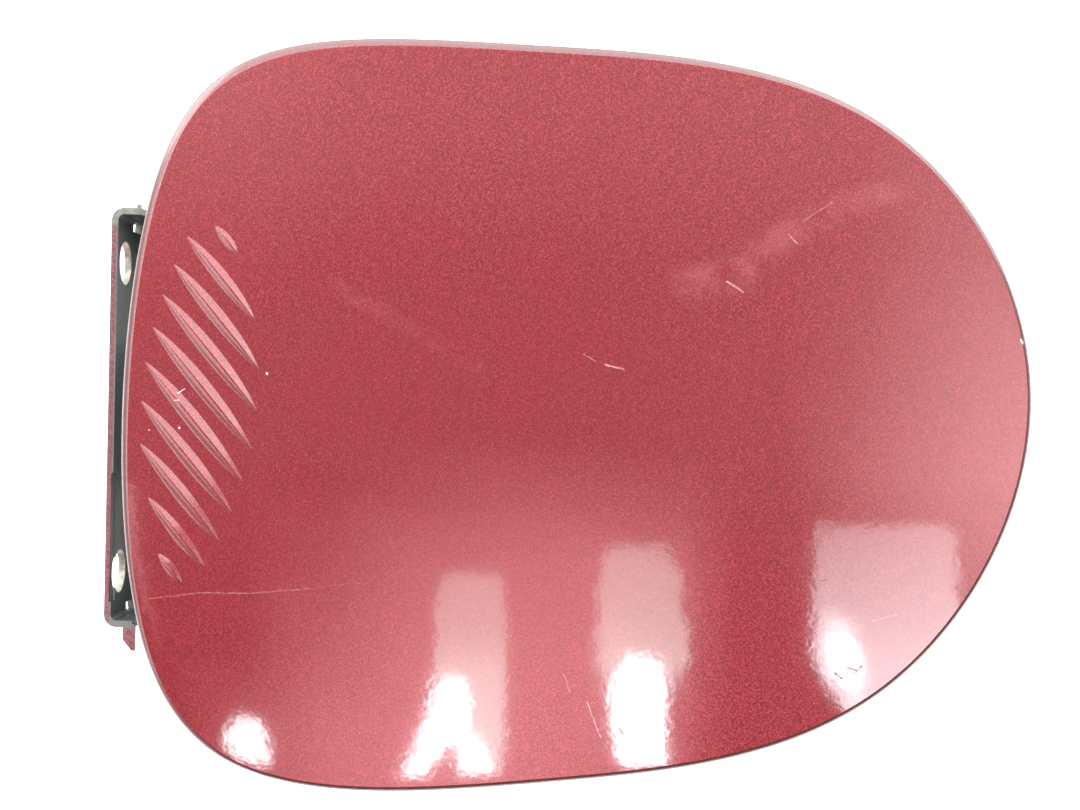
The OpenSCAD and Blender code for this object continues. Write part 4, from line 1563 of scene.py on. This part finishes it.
WINDOWS = (
    Window("window_left_curtain", (
        (-27.0, 70.0, 79.0, 0.0), (-29.5, 66.6, 79.4, 5.0), (-40.0, 66.4, 79.8, 6.2),
        (-47.0, 66.2, 79.9, 10.0), (-58.0, 66.6, 79.8, 12.0), (-62.0, 70.0, 79.6, 12.0),
        (-66.6, 71.2, 79.0, 13.0),
    ), 1.3, CURTAIN),
    Window("window_left", (
        (-46.5, 67.5, 71.0, 0.0), (-49.5, 66.6, 73.2, 18.0), (-54.0, 65.6, 73.6, 26.0),
        (-61.5, 62.6, 72.6, 28.0),
    )),
    Window("window_left_foot", (
        (-61.5, 62.6, 69.2, 28.0), (-67.4, 59.8, 65.0, 26.0),
    )),
    Window("window_left_second_foot", (
        (-58.0, 71.0, 75.5, 0.0), (-61.5, 70.8, 77.0, 24.0), (-66.4, 71.4, 77.4, 26.0),
    )),
    Window("window_middle_curtain", (
        (-20.5, 103.0, 110.0, 0.0), (-23.5, 98.5, 111.2, 5.2), (-28.0, 97.4, 113.4, 6.4),
        (-34.0, 97.4, 113.6, 7.2), (-39.0, 97.2, 114.4, 8.6), (-44.0, 97.4, 115.0, 10.0),
        (-47.0, 98.0, 112.5, 10.0), (-52.0, 99.4, 112.0, 0.0),
    ), 1.3, CURTAIN),
    Window("window_middle", (
        (-42.0, 103.0, 107.5, 0.0), (-44.5, 102.0, 108.8, 28.0), (-49.0, 100.0, 110.4, 36.0),
        (-54.0, 99.8, 110.8, 36.0), (-63.5, 101.2, 111.2, 36.0), (-65.0, 103.0, 110.2, 0.0),
    )),
    Window("window_right_curtain", (
        (-16.5, 139.5, 163.0, 0.0), (-18.5, 138.2, 165.0, 5.5), (-27.0, 138.0, 166.2, 8.0),
        (-34.0, 138.4, 167.0, 10.0), (-44.0, 138.6, 168.5, 14.0), (-48.0, 141.0, 168.0, 15.0),
        (-56.0, 147.0, 166.0, 15.0),
    )),
    Window("window_right", (
        (-33.0, 141.0, 143.5, 0.0), (-36.0, 140.2, 146.0, 9.0), (-41.9, 140.2, 148.0, 18.0),
        (-45.8, 142.0, 148.6, 18.0), (-49.5, 144.0, 148.5, 11.0), (-53.0, 145.5, 148.0, 5.0),
    ), 2.6),
    Window("window_low_corner", (
        (-55.5, 29.0, 31.0, 0.0), (-57.5, 27.6, 33.0, 26.0), (-61.0, 26.4, 34.4, 36.0),
        (-65.0, 28.0, 34.8, 34.0), (-66.8, 29.5, 34.8, 0.0),
    ), 1.0),
    Window("lamp_beside_ribs", (
        (-11.0, 5.4, 6.6, 0.0), (-14.0, 5.2, 7.6, 4.0), (-19.0, 6.2, 8.6, 4.0), (-26.0, 7.4, 9.2, 3.6),
        (-34.0, 9.4, 10.8, 3.0), (-42.0, 12.2, 13.2, 1.6), (-46.0, 13.6, 14.4, 0.0),
    ), 1.0, ROSY),
)

GLOWS = (
    Glow("wall_between_windows", (16.0, 30.0, 45.0, 62.0, 80.0, 96.0, 114.0, 118.5, 122.0), (
        (-2.0, (0.0, 0.0, 0.0, 0.0, 0.0, 0.0, 0.0, 0.0, 0.0)),
        (-12.0, (0.0, 0.0, 0.0, 1.0, 2.0, 2.0, 1.2, 0.4, 0.3)),
        (-26.0, (0.0, 0.2, 1.6, 4.4, 5.6, 5.8, 4.0, 1.5, 0.7)),
        (-44.0, (0.0, 0.5, 3.8, 6.8, 7.6, 7.4, 4.0, 1.4, 0.8)),
        (-58.0, (0.0, 2.2, 6.0, 8.0, 8.0, 7.0, 2.8, 1.0, 0.8)),
        (-74.0, (0.0, 2.4, 6.4, 8.2, 8.2, 6.8, 2.4, 0.8, 0.8)),
    ), "#ffbbbf"),
    Glow("ceiling_far_side", (132.0, 148.0, 162.0, 176.0, 190.0), (
        (60.0, (0.0, 0.0, 0.0, 0.0, 0.0)),
        (36.0, (0.0, 0.5, 1.1, 1.9, 2.3)),
        (14.0, (0.0, 1.6, 3.3, 5.2, 6.0)),
        (-8.0, (0.0, 3.0, 5.2, 7.4, 8.2)),
        (-30.0, (0.0, 1.4, 3.2, 4.8, 6.2)),
        (-60.0, (0.0, 0.0, 1.6, 3.0, 4.0)),
    ), "#ffc6c9"),
    Glow("ceiling_hinge_side", (-20.0, 8.0, 30.0, 60.0), (
        (20.0, (0.3, 0.0, 0.0, 0.0)),
        (48.0, (1.2, 0.7, 0.5, 0.0)),
        (80.0, (2.0, 1.4, 0.9, 0.0)),
    )),
    Glow("lamp_hinge_side_low", (-40.0, -34.0, -27.0, -19.0, -14.0), (
        (4.0, (0.0, 0.0, 0.0, 0.0, 0.0)),
        (-8.0, (0.0, 4.0, 5.0, 4.0, 0.0)),
        (-30.0, (0.0, 5.0, 6.0, 5.0, 0.0)),
        (-62.0, (0.0, 5.0, 6.0, 5.0, 0.0)),
        (-85.0, (0.0, 0.0, 0.0, 0.0, 0.0)),
    )),
    Glow("wall_hinge_side", (-84.0, -70.0, -45.0, -28.0, -20.0), (
        (-28.0, (0.0, 0.0, 0.0, 0.0, 0.0)),
        (-12.0, (0.0, 4.0, 4.5, 4.0, 0.0)),
        (30.0, (0.0, 5.0, 5.0, 4.5, 0.0)),
        (90.0, (0.0, 5.0, 5.0, 4.5, 0.0)),
    )),
)

SIDES = (
    Side("Y", -0.22, 0.0, 0.38),
    Side("Y", 0.12, 0.34, 0.7),
    Side("Y", 0.345, 0.42, 5.6),
    Side("Y", -0.38, -0.50, -3.8),
    Side("X", -0.50, -0.60, 5.2),
    Side("X", -0.84, -0.94, -4.0),
    Side("X", 0.0, 0.24, 0.3),
    Side("X", 0.24, 0.42, 1.6),
    Side("X", 0.50, 0.75, -1.6),
)


@dataclass
class Studio:
    """Camera, pale floor, soft surroundings and lit windows, in millimetres."""

    crown: Crown = Crown()
    paper: MattPaper = MattPaper()
    eye: tuple[float, float, float] = (85.4, 4.13, 318.0)
    roll_deg: float = 1.16
    # Width of the view where the door's edge lies, below the middle of the crown
    view_w: float = 207.7
    edge_fall: float = 3.8
    sensor: float = 36.0
    near: float = 10.0
    far: float = 20000.0
    floor_half: float = 3000.0
    floor_gap: float = 0.2
    window_z: float = 1300.0
    window_step: float = 15.0
    # Light all round before its sides are added, and the least that a side may leave
    surround: float = 0.33
    surround_least: float = 0.3
    surround_tint: str = "#fffdfb"
    backdrop: str = "#fdfdfd"

    def mirrored(self, x: float, y: float, height: float) -> tuple[float, float, float]:
        """Follows the camera's ray off the crown to the height of the lit windows.

        Args:
            x: Place on the door towards the free edge, in millimetres.
            y: Place on the door along the hinge, in millimetres.
            height: Height of the light above the frame's origin, in millimetres.

        Returns:
            The point in metres where the mirrored ray meets the windows' height.
        """
        p = np.array([[x, y]])
        spot = np.array([x, y, self.crown.height(p)[0]])
        normal = slope_normals(self.crown.height, p)[0]
        ray = np.array(self.eye) - spot
        ray = ray / np.linalg.norm(ray)
        away = 2 * (ray @ normal) * normal - ray
        found = spot + away * (height - spot[2]) / away[2]
        return tuple((found * MM).tolist())

    def build(self) -> None:
        """Sets up the camera, floor, surroundings and windows."""
        self._camera()
        self._floor()
        self._surroundings()
        # Each hangs a little higher than the one before, because lights in one plane would hide each other
        for order, light in enumerate((*WINDOWS, *GLOWS)):
            self._hang(light, self.window_z + order * self.window_step)

    def _camera(self) -> None:
        """Camera straight above the skin, rolled as in the photograph."""
        data = bpy.data.cameras.new("camera")
        data.sensor_width = self.sensor
        data.lens = self.sensor * (self.eye[2] - self.crown.top + self.edge_fall) / self.view_w
        data.clip_start, data.clip_end = self.near * MM, self.far * MM
        camera = bpy.data.objects.new("camera", data)
        camera.location = [v * MM for v in self.eye]
        camera.rotation_euler = (0, 0, math.radians(self.roll_deg))
        bpy.context.scene.collection.objects.link(camera)
        bpy.context.scene.camera = camera

    def _floor(self) -> None:
        """Pale matt paper on a light table, just under the bracket."""
        low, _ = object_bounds()
        half, z = self.floor_half * MM, low[2] - self.floor_gap * MM
        corners = [(-half, -half, z), (half, -half, z), (half, half, z), (-half, half, z)]
        data = bpy.data.meshes.new("floor")
        data.from_pydata(corners, [], [(0, 1, 2, 3)])
        data.materials.append(self.paper.material("matt_white_paper"))
        floor = bpy.data.objects.new("floor", data)
        bpy.context.scene.collection.objects.link(floor)
        floor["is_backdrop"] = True

    def _surroundings(self) -> None:
        """Soft light all round, brighter towards the hinge and the top, plain pale to the camera."""
        world = bpy.data.worlds.new("soft_surroundings")
        bpy.context.scene.world = world
        world.use_nodes = True
        tree = world.node_tree
        tree.nodes.clear()
        place = add_node(tree, "ShaderNodeTexCoord", out="Generated")
        axes = add_node(tree, SPLIT, (place,)).node.outputs
        total: Socket | float = self.surround
        for side in SIDES:
            glow = add_node(tree, RANGE, (axes[side.axis], side.start, side.full, 0.0, side.change),
                            interpolation_type=SMOOTH)
            total = add_node(tree, MATH, (total, glow), operation="ADD")
        total = add_node(tree, MATH, (total, self.surround_least), operation="MAXIMUM")
        lit = add_node(tree, "ShaderNodeBackground", (linear(self.surround_tint), total))
        plain = add_node(tree, "ShaderNodeBackground", (linear(self.backdrop), 1.0))
        seen = add_node(tree, "ShaderNodeLightPath", out="Is Camera Ray")
        both = add_node(tree, "ShaderNodeMixShader", (seen, lit, plain))
        add_node(tree, "ShaderNodeOutputWorld", (both,))

    def _hang(self, lit: Window | Glow, height: float) -> None:
        """Hangs one window or glow where the crown mirrors it into the picture.

        Args:
            lit: The window or glow.
            height: Height of the light above the frame's origin, in millimetres.
        """
        grid = lit.grid()
        wide = len(grid[0])
        points = [self.mirrored(x, y, height) for row in grid for x, y, _ in row]
        faces = [(k * wide + i, k * wide + i + 1, (k + 1) * wide + i + 1, (k + 1) * wide + i)
                 for k in range(len(grid) - 1) for i in range(wide - 1)]
        data = bpy.data.meshes.new(lit.name)
        data.from_pydata(points, [], faces)
        level = data.attributes.new("brightness", "FLOAT", "POINT")
        level.data.foreach_set("value", [b for row in grid for _, _, b in row])
        light = bpy.data.objects.new(lit.name, data)
        light.visible_camera = False
        light.visible_shadow = False
        bpy.context.scene.collection.objects.link(light)
        lamp = bpy.data.materials.new(lit.name)
        lamp.use_nodes = True
        tree = lamp.node_tree
        tree.nodes.clear()
        bright = add_node(tree, "ShaderNodeAttribute", out="Fac", attribute_name="brightness")
        shine = add_node(tree, "ShaderNodeEmission", (linear(lit.tint), bright))
        behind = add_node(tree, "ShaderNodeBsdfTransparent")
        both = add_node(tree, "ShaderNodeAddShader", (shine, behind))
        add_node(tree, "ShaderNodeOutputMaterial", (both,))
        data.materials.append(lamp)
        light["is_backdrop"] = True


def main() -> None:
    """Builds and dresses each sub-assembly in order and reports its pieces."""
    logging.basicConfig(level=logging.INFO, format="%(message)s")
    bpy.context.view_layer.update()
    Studio().build()
    log.info("studio: camera, floor and lights")
    pieces = []
    for sheet in (DoorSkin(), InnerPanel()):
        piece = sheet.build()
        sheet.dress(piece)
        pieces.append(piece)
    for solids in (HingeBracket(), HingeGear(), Buffers()):
        pieces += solids.dress()
    for piece in pieces:
        log.info("%s: %s, %d faces", piece.name, piece.data.materials[0].name, len(piece.data.polygons))
    bpy.context.scene.view_settings.view_transform = "Standard"


if __name__ == "__main__":
    main()
